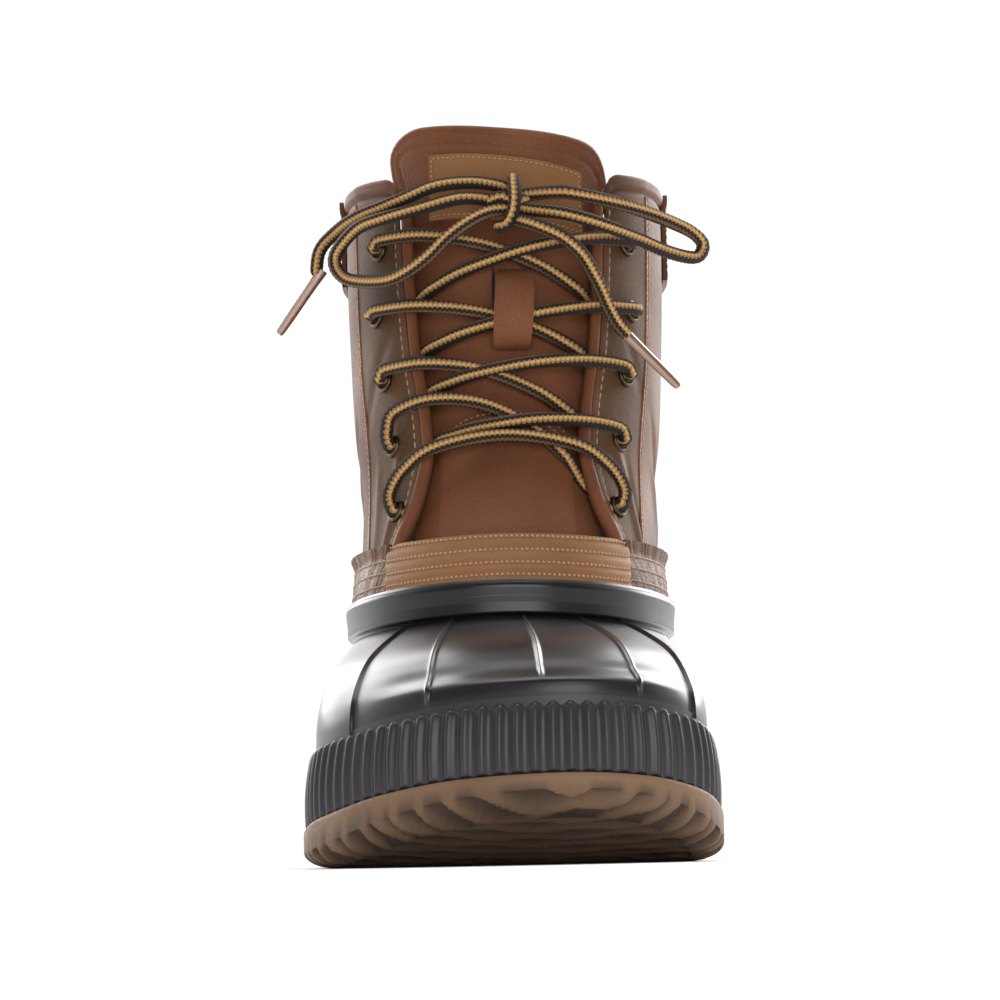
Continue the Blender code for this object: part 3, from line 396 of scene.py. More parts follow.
# Knot: the wrap of the bow, one turn of the lace pulled over the two loops, with the crossed lace inside.
KNOT_WRAP = (
    (0.0040, 0.0010, 0.2018),
    (0.0038, -0.0040, 0.2046),
    (0.0040, -0.0100, 0.2030),
    (0.0042, -0.0132, 0.1985),
    (0.0036, -0.0135, 0.1940),
    (0.0015, -0.0115, 0.1905),
    (-0.0020, -0.0080, 0.1898),
)
KNOT_CORE = (
    (-0.0050, -0.0055, 0.1975),
    (0.0000, -0.0080, 0.1990),
    (0.0040, -0.0085, 0.1975),
    (0.0085, -0.0065, 0.1985),
)
lace_tube("braided_knot", KNOT_WRAP, striped_lace, "lace_knot")
lace_tube("braided_knot_core", KNOT_CORE, striped_lace)


# Lacing over the throat: each strand leaves its eyelet outwards, crosses the tongue and dives under the
# other side's stay to the next eyelet down; a bar joins the lowest pair. The shaft's form carries it.
SOLE_LENGTH = 0.302
RIM_HEIGHT = 0.0820
COLLAR_HEIGHT = 0.2040
SHAFT_WIDTH = 0.1010
LEATHER = 0.0020
LEATHER_OUT = -0.0014
THROAT_HALF = 0.0310
BINDING_RADIUS = 0.0016
GAP = 0.0003
FRONT_ROUND = 0.018
EYELET_TOP = 0.1860
EYELET_SPACING = 0.0204
EYELET_LIP = 0.0009
EYELET_HALVES = (0.378, 0.388, 0.363, 0.340, 0.330)
TONGUE_OUT = LEATHER_OUT - LEATHER / 2 - BINDING_RADIUS - GAP * 3.5

# Sections of the shaft, from the rim (0) to the collar (1): front and back are shares of the sole's length
# from the toe, width is a share of the shaft's, power squares the oval, skew narrows its heel end.
Section = namedtuple("Section", "level front back width power skew")
SECTIONS = (
    Section(-0.10, 0.308, 0.974, 0.935, 2.40, 0.13),
    Section(0.00, 0.315, 0.972, 0.930, 2.40, 0.13),
    Section(0.12, 0.350, 0.970, 0.908, 2.35, 0.13),
    Section(0.24, 0.383, 0.964, 0.902, 2.30, 0.11),
    Section(0.40, 0.417, 0.954, 0.948, 2.28, 0.09),
    Section(0.60, 0.451, 0.947, 0.978, 2.25, 0.07),
    Section(0.80, 0.478, 0.946, 0.998, 2.20, 0.05),
    Section(1.00, 0.500, 0.952, 1.000, 2.20, 0.03),
    Section(1.20, 0.518, 0.958, 1.005, 2.20, 0.03),
)
Edge = namedtuple("Edge", "round rim collar")
EDGES = (
    Edge(0.00, 1.040, 0.990),
    Edge(0.12, 1.000, 0.990),
    Edge(0.25, 0.945, 1.014),
    Edge(0.36, 0.955, 1.024),
    Edge(0.50, 1.000, 1.016),
)
Throat = namedtuple("Throat", "level half")
THROAT = (
    Throat(0.08, 1.13),
    Throat(0.13, 1.06),
    Throat(0.18, 0.96),
    Throat(0.25, 0.87),
    Throat(0.33, 0.81),
    Throat(0.43, 0.84),
    Throat(0.56, 0.92),
    Throat(0.72, 0.97),
    Throat(1.00, 1.00),
    Throat(1.20, 1.00),
)


def smooth(at, rows, column):
    """Reads a column of a table at the places given, along a curve through its rows."""
    xs = np.array([row[0] for row in rows], float)
    ys = np.array([getattr(row, column) for row in rows], float)
    slope = np.gradient(ys, xs)
    flat = (np.diff(ys)[:-1] * np.diff(ys)[1:]) <= 0
    slope[1:-1][flat] = 0.0
    at = np.clip(np.asarray(at, float), xs[0], xs[-1])
    i = np.clip(np.searchsorted(xs, at, side="right") - 1, 0, len(xs) - 2)
    width = xs[i + 1] - xs[i]
    t = (at - xs[i]) / width
    return (
        (2 * t**3 - 3 * t**2 + 1) * ys[i]
        + (t**3 - 2 * t**2 + t) * width * slope[i]
        + (3 * t**2 - 2 * t**3) * ys[i + 1]
        + (t**3 - t**2) * width * slope[i + 1]
    )


@lru_cache(maxsize=None)
def shaft_plan(level):
    """The shaft's outline at a level, from the heel round the outer side and the front."""
    front, back, width, power, skew = (
        float(smooth(level, SECTIONS, column)) for column in ("front", "back", "width", "power", "skew")
    )
    turn = np.linspace(0.0, 2 * math.pi, 720, endpoint=False)
    across, length = np.sin(turn), np.cos(turn)
    rounded = np.sign(across) * np.abs(across) ** (2 / power)
    deep = np.sign(length) * np.abs(length) ** (2 / power)
    x = -rounded * width * SHAFT_WIDTH / 2 * (1 - skew * length)
    middle = SOLE_LENGTH * ((front + back) / 2 - 0.5)
    return np.stack([x, middle + deep * SOLE_LENGTH * (back - front) / 2], axis=1)


def read_plan(curve, shares, offset=0.0):
    """Plan points at shares of the curve's girth, moved outwards by offset."""
    ahead = np.roll(curve, -1, axis=0)
    steps = np.linalg.norm(ahead - curve, axis=1)
    girth = np.concatenate([[0.0], np.cumsum(steps)]) / steps.sum()
    tangent = ahead - np.roll(curve, 1, axis=0)
    tangent /= np.linalg.norm(tangent, axis=1)[:, None]
    outwards = np.stack([tangent[:, 1], -tangent[:, 0]], axis=1)
    shares = np.mod(np.asarray(shares, float), 1.0)
    read = [
        np.stack([np.interp(shares, girth, np.append(table[:, k], table[0, k])) for k in (0, 1)], axis=1)
        for table in (curve, outwards)
    ]
    return read[0] + np.asarray(offset, float).reshape(-1, 1) * read[1]


def girth_of(curve):
    return float(np.linalg.norm(np.roll(curve, -1, axis=0) - curve, axis=1).sum())


def folded(shares):
    """Distance round from the heel, the same on both sides: 0 at the heel, 0.5 at the rounded-off front."""
    ahead = np.abs(np.mod(np.asarray(shares, float), 1.0) - 0.5)
    return np.clip(0.5 + FRONT_ROUND - np.hypot(ahead, FRONT_ROUND), 0.0, 0.5)


def rim_height(shares):
    return RIM_HEIGHT * smooth(folded(shares), EDGES, "rim")


def collar_height(shares):
    return COLLAR_HEIGHT * smooth(folded(shares), EDGES, "collar")


def shaft_points(level, shares, offset=0.0):
    """Points of the shaft's form at one level and several shares of its girth."""
    shares = np.atleast_1d(np.asarray(shares, float))
    plan = read_plan(shaft_plan(level), shares, offset)
    low = rim_height(shares)
    return np.column_stack([plan, low + level * (collar_height(shares) - low)])


def share_across(level, half):
    """The share of the girth, from the heel, at which the front's half-width has a given value."""
    shares = np.linspace(0.20, 0.50, 601)
    xs = read_plan(shaft_plan(level), shares)[:, 0]
    return float(np.interp(-half, xs, shares))


def throat_share(level):
    return share_across(level, THROAT_HALF * float(smooth(level, THROAT, "half")))


def front_point(level, across, offset):
    """A point of the shaft's front at a level, a distance across from the middle."""
    return shaft_points(level, 0.5 + across / girth_of(shaft_plan(level)), offset)[0]


def level_at(height, share=0.42):
    low, high = float(rim_height(share)), float(collar_height(share))
    return (height - low) / (high - low)


def eyelet_place(row, side):
    """Middle and outward direction of an eyelet on the leather's outer face."""
    level = level_at(EYELET_TOP - row * EYELET_SPACING)
    share = share_across(level, EYELET_HALVES[row] * SHAFT_WIDTH)
    share = share if side < 0 else 1.0 - share
    here, beside = shaft_points(level, [share, share + 0.004], LEATHER_OUT)
    above = shaft_points(level + 0.02, share, LEATHER_OUT)[0]
    outwards = np.cross(beside - here, above - here)
    return here, outwards / np.linalg.norm(outwards)


def eyelet_across(row):
    """Distance of an eyelet from the front's middle, round the shaft."""
    level = level_at(EYELET_TOP - row * EYELET_SPACING)
    return (0.5 - share_across(level, EYELET_HALVES[row] * SHAFT_WIDTH)) * girth_of(shaft_plan(level))


# A strand over the throat: across is the share of the way from its eyelet to the far edge, rise and fall
# are shares of its own, lift runs from the tongue (0) to the eyelet's lip (1), below 0 under the stay.
Strand = namedtuple("Strand", "across rise fall lift")
STRAND = (
    Strand(0.035, 0.35, 0.00, 1.12),
    Strand(0.10, 0.75, 0.00, 1.20),
    Strand(0.30, 1.00, 0.04, 0.85),
    Strand(0.55, 1.00, 0.25, 0.30),
    Strand(0.80, 0.75, 0.62, 0.08),
    Strand(0.97, 0.45, 0.95, -0.12),
    Strand(1.06, 0.30, 1.12, -0.55),
    Strand(1.15, 0.10, 1.32, -0.74),
    Strand(1.22, 0.00, 1.48, -0.74),
)
BAR = (
    Strand(0.020, 0.30, 0.00, 1.15),
    Strand(0.11, 0.62, 0.00, 1.25),
    Strand(0.25, 0.88, 0.00, 1.25),
    Strand(0.50, 1.00, 0.00, 0.70),
    Strand(0.75, 0.88, 0.00, 1.25),
    Strand(0.89, 0.62, 0.00, 1.25),
    Strand(0.980, 0.30, 0.00, 1.15),
)

# Rise and fall of each row's strands, as shares of the rows' spacing: lateral one, then medial one.
LaceRow = namedtuple("LaceRow", "lateral_rise lateral_fall medial_rise medial_fall")
LACE_ROWS = (
    LaceRow(0.17, 0.77, 0.06, 0.71),
    LaceRow(0.10, 0.66, 0.02, 0.56),
    LaceRow(0.22, 0.70, 0.19, 0.24),
    LaceRow(0.66, 0.52, 0.27, 0.04),
)
BAR_RISE = 1.02
CROSSING = 0.58
CROSSING_LIFT = (-0.10, 0.78)


def strand_point(row, height, rise, fall, start, end, side, over):
    low = TONGUE_OUT + 2 * GAP + LACE / 2
    high = LEATHER_OUT + EYELET_LIP + 2 * GAP + LACE / 2
    level = level_at(height - (fall * row.fall - rise * row.rise) * EYELET_SPACING, 0.45)
    hump = over * LACE * max(0.0, math.cos(math.pi / 2 * min(1.0, abs(row.across - CROSSING) / 0.32))) ** 1.5
    across = side * (start + row.across * (end - start))
    return front_point(level, across, low + row.lift * (high - low) + hump)


def out_of_eyelet(row, side):
    """The lace's first points: inside the barrel, then just outside it."""
    place, outwards = eyelet_place(row, side)
    return [place + outwards * step for step in (-0.0030, 0.0000, 0.0022)]


for row, lace_row in enumerate(LACE_ROWS):
    height = EYELET_TOP - row * EYELET_SPACING
    start = -eyelet_across(row)
    gap = THROAT_HALF * float(smooth(level_at(height), THROAT, "half"))
    end = gap - 2 * BINDING_RADIUS - LACE / 2 - GAP
    for side, name in ((1, "lateral"), (-1, "medial")):
        rise, fall = getattr(lace_row, f"{name}_rise"), getattr(lace_row, f"{name}_fall")
        over = CROSSING_LIFT[side < 0]
        points = out_of_eyelet(row, -side)
        points += [strand_point(strand, height, rise, fall, start, end, side, over) for strand in STRAND]
        piece = lace_tube(f"lace_row_{row + 1}_{name}", points, striped_lace)[0]
        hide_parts(f"lace_row_{row + 1}")

lowest = len(LACE_ROWS)
height = EYELET_TOP - lowest * EYELET_SPACING
start = -eyelet_across(lowest)
bar = [strand_point(strand, height, BAR_RISE, 0.0, start, -start, 1, 0.0) for strand in BAR]
bar = out_of_eyelet(lowest, -1) + bar + out_of_eyelet(lowest, 1)[::-1]
lace_tube("braided_bar", bar, striped_lace, "lace_bar")


# Outsole: one moulding of gum rubber under the whole boot, with toe spring, an arch and a heel.
# Its rounded edge turns under, and wavy ribs cross its tread, thick arcs under the toe and finer behind.
SOLE_WIDTH = 0.118
TOE_SPRING = 0.0160
ARCH_RISE = 0.0055
SOLE_EDGE = 0.010
TOE_EDGE_RISE = 0.0150
HEEL_EDGE_RISE = 0.0110
EDGE_ROUND = 0.009
EDGE_LIP = ((0.0, 0.0016), (0.0001, 0.0008), (0.0005, 0.0002), (0.0011, 0.0), (0.0045, 0.0))
RAND_SET_IN = 0.0006
TREAD_DEPTH = 0.0032
EDGE_NOTCH = 0.0030
TOE_PITCH = 0.0066
FINE_PITCH = 0.0046
GUM_LIGHT = (0.24, 0.138, 0.074, 1.0)
# Near-black gum for dirt and painted shade in the grooves and under the sole.
GUM_DIRT_AND_SHADE = (0.022, 0.012, 0.008, 1.0)
Station = namedtuple("Station", "along lateral medial")
STATIONS = (
    Station(0.012, 0.130, 0.130),
    Station(0.045, 0.235, 0.235),
    Station(0.105, 0.310, 0.310),
    Station(0.200, 0.350, 0.345),
    Station(0.340, 0.362, 0.338),
    Station(0.460, 0.385, 0.335),
    Station(0.570, 0.440, 0.368),
    Station(0.670, 0.492, 0.435),
    Station(0.750, 0.500, 0.487),
    Station(0.830, 0.468, 0.500),
    Station(0.900, 0.370, 0.476),
    Station(0.950, 0.248, 0.410),
    Station(0.985, 0.090, 0.305),
)
TOE_TIP_SIDE = 0.135
Height = namedtuple("Height", "along spring arch toe_edge heel_edge")
HEIGHTS = (
    Height(0.00, 0.24, 0.00, 0.00, 1.10),
    Height(0.06, 0.00, 0.00, 0.00, 1.00),
    Height(0.29, 0.00, 0.00, 0.00, 0.80),
    Height(0.33, 0.00, 0.90, 0.00, 0.70),
    Height(0.45, 0.00, 1.00, 0.00, 0.38),
    Height(0.55, 0.00, 0.00, 0.00, 0.10),
    Height(0.66, 0.00, 0.00, 0.00, 0.00),
    Height(0.78, 0.00, 0.00, 0.10, 0.00),
    Height(0.86, 0.16, 0.00, 0.34, 0.00),
    Height(0.93, 0.52, 0.00, 0.66, 0.00),
    Height(1.00, 1.00, 0.00, 1.00, 0.00),
)


def along_sole(y):
    return np.clip(0.5 - np.asarray(y, float) / SOLE_LENGTH, 0.0, 1.0)


def sole_bottom(y):
    at = along_sole(y)
    return TOE_SPRING * smooth(at, HEIGHTS, "spring") + ARCH_RISE * smooth(at, HEIGHTS, "arch")


def sole_top(y):
    at = along_sole(y)
    toe = TOE_EDGE_RISE * smooth(at, HEIGHTS, "toe_edge")
    return SOLE_EDGE + toe + HEEL_EDGE_RISE * smooth(at, HEIGHTS, "heel_edge")


def catmull_rom(points, per_span):
    p = np.asarray(points, float)
    before, after, far = np.roll(p, 1, axis=0), np.roll(p, -1, axis=0), np.roll(p, -2, axis=0)
    t = (np.arange(per_span) / per_span)[None, :, None]
    a, b, c, d = (q[:, None, :] for q in (before, p, after, far))
    curve = 0.5 * (2 * b + (c - a) * t + (2 * a - 5 * b + 4 * c - d) * t**2 + (3 * b - a - 3 * c + d) * t**3)
    return curve.reshape(-1, 2)


def sole_plan():
    """The sole's outline from the heel's middle round the outer side, the toe and the inner side."""
    half = SOLE_LENGTH / 2
    outer = [(-s.lateral * SOLE_WIDTH, half - s.along * SOLE_LENGTH) for s in STATIONS]
    inner = [(s.medial * SOLE_WIDTH, half - s.along * SOLE_LENGTH) for s in reversed(STATIONS)]
    toe = [(TOE_TIP_SIDE * SOLE_WIDTH, -half)]
    return catmull_rom([(0.0, half)] + outer + toe + inner, 24)


def step(value, low, high):
    """0 below low, 1 above high, and a soft step between them."""
    t = np.clip((np.asarray(value, float) - low) / (high - low), 0.0, 1.0)
    return t * t * (3 - 2 * t)


def tread(x, y):
    """Height of the tread's ribs: 1 on a rib, 0 in a groove. Neighbouring ribs wave against each other."""
    toe = step(-y, 0.100, 0.112)
    bow = 6.0 * np.clip(-y - 0.070, 0.0, 1.0)
    reach = -y - bow * (x - 0.010) ** 2 / 0.07
    ribs = []
    for pitch, wave, length, width in ((FINE_PITCH, 0.26, 0.0105, 0.30), (TOE_PITCH, 0.30, 0.0240, 0.27)):
        line = reach / pitch
        index = np.round(line)
        swing = wave * np.sin(2 * math.pi * x / length) * np.where(index % 2, 1, -1) * 0.6
        away = np.abs(line - index - swing)
        ribs.append(1 - step(away, width * 0.55, width * 1.35))
    return ribs[0] * (1 - toe) + ribs[1] * toe


def gum_finish():
    """Gum rubber: warm and matt; its attribute is high on the lit edge and low in the tread's grooves and
    underside: dirt and painted shade.
    """
    made, tree, shader = new_material("gum_rubber", 0.62)
    place = node(tree, "ShaderNodeTexCoord").outputs["Object"]
    cloud = noise(tree, place, 38.0, 5.0)
    speck = noise(tree, place, 900.0, 3.0)
    clean = node(tree, "ShaderNodeAttribute", attribute_name="clean").outputs["Fac"]
    share = maths(tree, "MULTIPLY", clean, maths(tree, "ADD", cloud, 0.5))
    tree.links.new(mixed(tree, share, GUM_DIRT_AND_SHADE, GUM_LIGHT), shader.inputs["Base Color"])
    tree.links.new(ramp(tree, speck, ((0.3, 0.50), (0.7, 0.76))), shader.inputs["Roughness"])
    bumped(tree, shader, speck, 0.25, 0.0002)
    return made


outline = sole_plan()
SOLE_COLUMNS = 720
SPINE_FROM_TOE = 0.050
SPINE_FROM_HEEL = 0.040
TOE_FROM = -0.09
TOE_MIDDLE = 0.008
shares = np.linspace(0.0, 1.0, SOLE_COLUMNS + 1)
plan = read_plan(outline, shares)
middles = [(station.medial - station.lateral) / 2 for station in STATIONS]
middle = np.interp(along_sole(plan[:, 1]), [station.along for station in STATIONS], middles)
spine_y = np.clip(plan[:, 1], -SOLE_LENGTH / 2 + SPINE_FROM_TOE, SOLE_LENGTH / 2 - SPINE_FROM_HEEL)
spine = np.stack([middle * SOLE_WIDTH, spine_y], axis=1)
spine[:, 0] = np.where(plan[:, 1] < TOE_FROM, TOE_MIDDLE, spine[:, 0])
inner = read_plan(outline, shares, -EDGE_ROUND)
# Per point, how clean and lit the gum is: low on the underside and in its grooves, for dirt and painted
# shade.
rows, clean = [], []
for share in np.linspace(0.0, 1.0, 64):
    flat = spine + (inner - spine) * share
    fade = 1 - step(share, 0.975, 1.0)
    ribs = tread(flat[:, 0], flat[:, 1])
    rows.append(np.column_stack([flat, sole_bottom(flat[:, 1]) + TREAD_DEPTH * (1 - ribs) * fade]))
    clean.append(0.46 * ribs)
for angle in np.linspace(0.0, math.pi / 2, 10)[1:]:
    flat = read_plan(outline, shares, -EDGE_ROUND * (1 - math.sin(angle)))
    ribs = tread(flat[:, 0], flat[:, 1])
    lift = EDGE_ROUND / 2 * (1 - math.cos(angle)) + EDGE_NOTCH * (1 - ribs) * math.sin(2 * angle)
    rows.append(np.column_stack([flat, sole_bottom(flat[:, 1]) + lift]))
    clean.append((0.08 + 0.45 * ribs) * (1 - math.sin(angle)) + (0.28 + 0.42 * ribs) * math.sin(angle))
# Painted highlight: the top of the edge, where the light falls, takes the brightest gum.
for inset, drop in EDGE_LIP:
    flat = read_plan(outline, shares, -inset)
    rows.append(np.column_stack([flat, sole_top(flat[:, 1]) - drop]))
    clean.append(np.full(len(flat), 0.95))
flat = read_plan(outline, shares, -EDGE_LIP[-1][0])
lid = spine + (flat - spine) * 0.5
rows.append(np.column_stack([lid, sole_top(lid[:, 1])]))
rows.append(np.column_stack([spine, sole_top(spine[:, 1])]))
clean += [clean[-1], clean[-1]]
outsole = lay("gum_outsole", rows, weld=True, clean=clean)
gum_rubber = gum_finish()
settle(outsole, gum_rubber, "gum_rubber", "outsole", angle=50.0)


# Rand: the ribbed strip of dark rubber round the foot of the shell, vulcanised on over the sole's edge.
# Its face is barrel-shaped, and each upright rib is rounded and ends in a rounded top.
RAND_HEIGHT = 0.0220
RAND_THICKNESS = 0.0030
RAND_TOP_LEAN = 0.0018
RAND_TOE_FALL = 0.0018
RAND_BARREL = 0.0004
RIB_PITCH = 0.0050
RIB_DEPTH = 0.0012
RUBBER_DARK = (0.0070, 0.0058, 0.0070, 1.0)
RUBBER_LIGHT = (0.019, 0.015, 0.019, 1.0)
# The rand's black rubber lightened to a lilac grey beyond the shell's: painted reflection of the bright
# surroundings.
RAND_SHEEN_DARK = (0.021, 0.018, 0.022, 1.0)
RAND_SHEEN_LIGHT = (0.044, 0.038, 0.046, 1.0)


def rand_height(y):
    """The rand's height, a little less over the toe."""
    return RAND_HEIGHT - RAND_TOE_FALL * step(-y, 0.07, 0.14)


def rubber_finish(name, roughness, dark=RUBBER_DARK, light=RUBBER_LIGHT):
    """Moulded rubber: near black, a satin skin with faint cloudy bloom."""
    made, tree, shader = new_material(name, roughness, Specular_IOR_Level=0.5)
    place = node(tree, "ShaderNodeTexCoord").outputs["Object"]
    cloud = noise(tree, place, 55.0, 6.0)
    speck = noise(tree, place, 1500.0, 2.0)
    tree.links.new(mixed(tree, cloud, dark, light), shader.inputs["Base Color"])
    rough = ramp(tree, cloud, ((0.3, roughness - 0.03), (0.7, roughness + 0.04)))
    tree.links.new(rough, shader.inputs["Roughness"])
    bumped(tree, shader, speck, 0.05, 0.0001)
    return made


dark_rubber = rubber_finish("dark_rubber", 0.38, RAND_SHEEN_DARK, RAND_SHEEN_LIGHT)
ribs = round(girth_of(outline) / RIB_PITCH)
shares = np.linspace(0.0, 1.0, ribs * 10 + 1)
wave = np.mod(np.arange(ribs * 10 + 1) / 10, 1.0)
rib = (0.5 - 0.5 * np.cos(2 * math.pi * wave)) ** 1.4
rows = []
inner = -(RAND_SET_IN + RAND_THICKNESS)
flat = read_plan(outline, shares, inner)
rows.append(np.column_stack([flat, sole_top(flat[:, 1]) + GAP]))
foot_steps, top_steps = (0.0, 0.012, 0.035, 0.07), (0.92, 0.95, 0.975, 0.992, 1.0)
for up in np.concatenate([foot_steps, np.linspace(0.12, 0.88, 10), top_steps]):
    foot = min(1.0, up / 0.035) ** 0.5
    roll = math.sqrt(max(0.0, 1 - max(0.0, (up - 0.88) / 0.12) ** 2))
    face = -RAND_SET_IN - RAND_TOP_LEAN * up**2 + RAND_BARREL * math.sin(math.pi * min(1.0, up * 1.02))
    crest = (1 - rib * roll * foot) * RIB_DEPTH + (1 - roll) * 0.0012
    flat = read_plan(outline, shares, face - crest)
    top = rand_height(flat[:, 1]) - 0.0005 * (1 - rib) * step(up, 0.80, 1.0)
    rows.append(np.column_stack([flat, sole_top(flat[:, 1]) + GAP + up * (top - GAP)]))
flat = read_plan(outline, shares, inner)
rows.append(np.column_stack([flat, sole_top(flat[:, 1]) + RAND_HEIGHT - 0.0006]))
rows.append(rows[0])
settle(lay("ribbed_rand", rows, weld=True), dark_rubber, "dark_rubber", "rand", angle=70.0)


# Shell: the moulded rubber bottom of the upper, with a soft shoulder over the rand, five narrow ridges
# over the toe and a raised rim band whose bevelled lip holds the leather. The insole keeps clear of its
# full wall; the wall shown at the lip is thinner.
SHELL_WALL = 0.0020
SHELL_SHOWN = 0.0012
BAND_HEIGHT = 0.0110
BAND_STEP = 0.0024
RIDGE_HEIGHT = 0.0011
RIDGE_HALF = 0.00062
RIDGE_STEPS = (0.0, 0.25, 0.5, 0.8, 1.15, 1.5, 2.0, 2.6, 3.4)
SHOULDER_FROM = 0.452
SHOULDER_TO = 0.546
SHOULDER_FADE = 0.04
WALL_ROWS = 40
Wall = namedtuple("Wall", "rise run toe")
SHELL_WALLS = (
    Wall(0.00, 0.000, 0.000),
    Wall(0.16, 0.015, 0.002),
    Wall(0.22, 0.028, 0.010),
    Wall(0.27, 0.043, 0.046),
    Wall(0.32, 0.065, 0.090),
    Wall(0.44, 0.135, 0.158),
    Wall(0.66, 0.345, 0.350),
    Wall(0.85, 0.680, 0.680),
    Wall(1.00, 1.000, 1.000),
)
Ridge = namedtuple("Ridge", "foot rim starts")
RIDGES = (
    Ridge(0.409, 0.436, 0.00),
    Ridge(0.454, 0.467, 0.10),
    Ridge(0.503, 0.508, 0.26),
    Ridge(0.544, 0.542, 0.12),
    Ridge(0.579, 0.579, 0.00),
)
# The band's face from its foot to the inside of its lip: out is a share of its step, up of its height.
Lip = namedtuple("Lip", "out up")
BAND_FACE = (
    Lip(0.10, 0.06),
    Lip(0.40, 0.08),
    Lip(0.60, 0.10),
    Lip(0.70, 0.14),
    Lip(0.74, 0.20),
    Lip(0.86, 0.50),
    Lip(0.98, 0.76),
    Lip(1.00, 0.81),
    Lip(0.95, 0.86),
    Lip(0.72, 0.95),
    Lip(0.52, 1.00),
    Lip(0.42, 0.99),
    Lip(0.35, 0.94),
    Lip(0.32, 0.80),
)
girth = girth_of(outline)
near = np.concatenate([-np.array(RIDGE_STEPS[:0:-1]), RIDGE_STEPS]) * RIDGE_HALF / girth
feet, rims = [ridge.foot for ridge in RIDGES], [ridge.rim for ridge in RIDGES]
even = np.linspace(0.0, 1.0, 481)
to_ridge = np.min(np.abs(even[:, None] - np.array(feet)), axis=1)
even = even[to_ridge > 3.9 * RIDGE_HALF / girth]
at_foot = np.sort(np.concatenate([even, *[place + near for place in feet]]))
at_rim = np.interp(at_foot, [0.0, 0.30, *feet, 0.70, 1.0], [0.0, 0.30, *rims, 0.70, 1.0])
foot = read_plan(outline, at_foot, -(RAND_SET_IN + RAND_THICKNESS + GAP))
rim_plan = shaft_plan(0.0)
top = read_plan(rim_plan, at_rim)
low = sole_top(foot[:, 1]) + rand_height(foot[:, 1])
high = rim_height(at_rim) - BAND_HEIGHT
rows = [np.column_stack([foot, sole_top(foot[:, 1]) + GAP]), np.column_stack([foot, low - 0.004])]
walls = []
middle = step(at_foot, SHOULDER_FROM - SHOULDER_FADE, SHOULDER_FROM)
middle = middle * (1 - step(at_foot, SHOULDER_TO, SHOULDER_TO + SHOULDER_FADE))
for rise in np.linspace(0.0, 1.0, WALL_ROWS):
    side_run, toe_run = (float(smooth(rise, SHELL_WALLS, column)) for column in ("run", "toe"))
    run = side_run * (1 - middle) + toe_run * middle
    walls.append(np.column_stack([foot + (top - foot) * run[:, None], low + (high - low) * rise]))
walls = np.array(walls)
up = np.gradient(walls, axis=0)
around = np.gradient(walls, axis=1)
outwards = np.cross(around, up)
outwards /= np.maximum(np.linalg.norm(outwards, axis=2), 1e-12)[:, :, None]
for index, rise in enumerate(np.linspace(0.0, 1.0, WALL_ROWS)):
    relief = np.zeros(len(at_foot))
    for ridge in RIDGES:
        away = (at_foot - ridge.foot) * girth * (1 - 0.35 * rise)
        shape = np.exp(-((away / RIDGE_HALF) ** 2))
        fades = step(rise, ridge.starts - 0.06, ridge.starts + 0.10) if ridge.starts else 1.0
        relief = relief + shape * fades * (1 - step(rise, 0.97, 1.0))
    rows.append(walls[index] + outwards[index] * (RIDGE_HEIGHT * relief)[:, None])
for lip in BAND_FACE:
    flat = read_plan(rim_plan, at_rim, lip.out * BAND_STEP)
    rows.append(np.column_stack([flat, high + lip.up * BAND_HEIGHT]))
flat = read_plan(rim_plan, at_rim, 0.32 * BAND_STEP)
rows.append(np.column_stack([flat, high + 0.15 * BAND_HEIGHT]))
shell = lay("moulded_shell", rows, weld=True)


def walled(piece, thickness, *finishes):
    """Gives a sheet its wall on the inner side, whose faces take the second finish where two are given."""
    for finish in finishes:
        piece.data.materials.append(finish)
    solidify = piece.modifiers.new("wall", "SOLIDIFY")
    solidify.material_offset = max(0, len(finishes) - 1)
    solidify.thickness = thickness
    solidify.offset = -1.0
    solidify.use_even_offset = False
    bpy.ops.object.select_all(action="DESELECT")
    piece.select_set(True)
    bpy.context.view_layer.objects.active = piece
    bpy.ops.object.modifier_apply(modifier="wall")
    return piece


shell_rubber = rubber_finish("shell_rubber", 0.31)
settle(walled(shell, SHELL_SHOWN), shell_rubber, "dark_rubber", "rubber_shell", angle=60.0)


# Insole: a flat foam footbed covered in brushed cloth, laid loose in the shell.
INSOLE_THICKNESS = 0.0040
INSOLE_SPINE = (-0.098, 0.108)
INSOLE_EDGE = ((0.0, 0.0), (0.5, 0.0), (0.9, 0.0), (0.97, 0.0002), (1.0, 0.0009))
CLOTH_LIGHT = (0.17, 0.115, 0.075, 1.0)
CLOTH_DARK = (0.085, 0.055, 0.036, 1.0)


def cloth_finish(name, scale):
    """Brushed lining cloth: a fine plain weave, matt."""
    made, tree, shader = new_material(name, 0.92, Sheen_Weight=0.25)
    place = node(tree, "ShaderNodeTexCoord").outputs["Object"]
    weave = node(tree, "ShaderNodeTexVoronoi", {"Vector": place, "Scale": scale}).outputs[0]
    cloud = noise(tree, place, 60.0, 4.0)
    tree.links.new(mixed(tree, cloud, CLOTH_DARK, CLOTH_LIGHT), shader.inputs["Base Color"])
    bumped(tree, shader, weave, 0.4, 0.0002)
    return made


lining_cloth = cloth_finish("lining_cloth", 900.0)
inset = -(RAND_SET_IN + RAND_THICKNESS + SHELL_WALL + 6 * GAP)
shares = np.linspace(0.0, 1.0, 361)
inner = read_plan(outline, shares, inset)
middle_x = np.where(inner[:, 1] < TOE_FROM, TOE_MIDDLE, 0.0)
middle = np.stack([middle_x, np.clip(inner[:, 1], *INSOLE_SPINE)], axis=1)
rows = []
for share, drop in INSOLE_EDGE:
    flat = middle + (inner - middle) * share
    rows.append(np.column_stack([flat, sole_top(flat[:, 1]) + GAP + INSOLE_THICKNESS - drop]))
rows.append(np.column_stack([inner, sole_top(inner[:, 1]) + GAP]))
rows.append(np.column_stack([middle, sole_top(middle[:, 1]) + GAP]))
settle(lay("cloth_footbed", rows[::-1], weld=True), lining_cloth, "insole_foam", "insole")


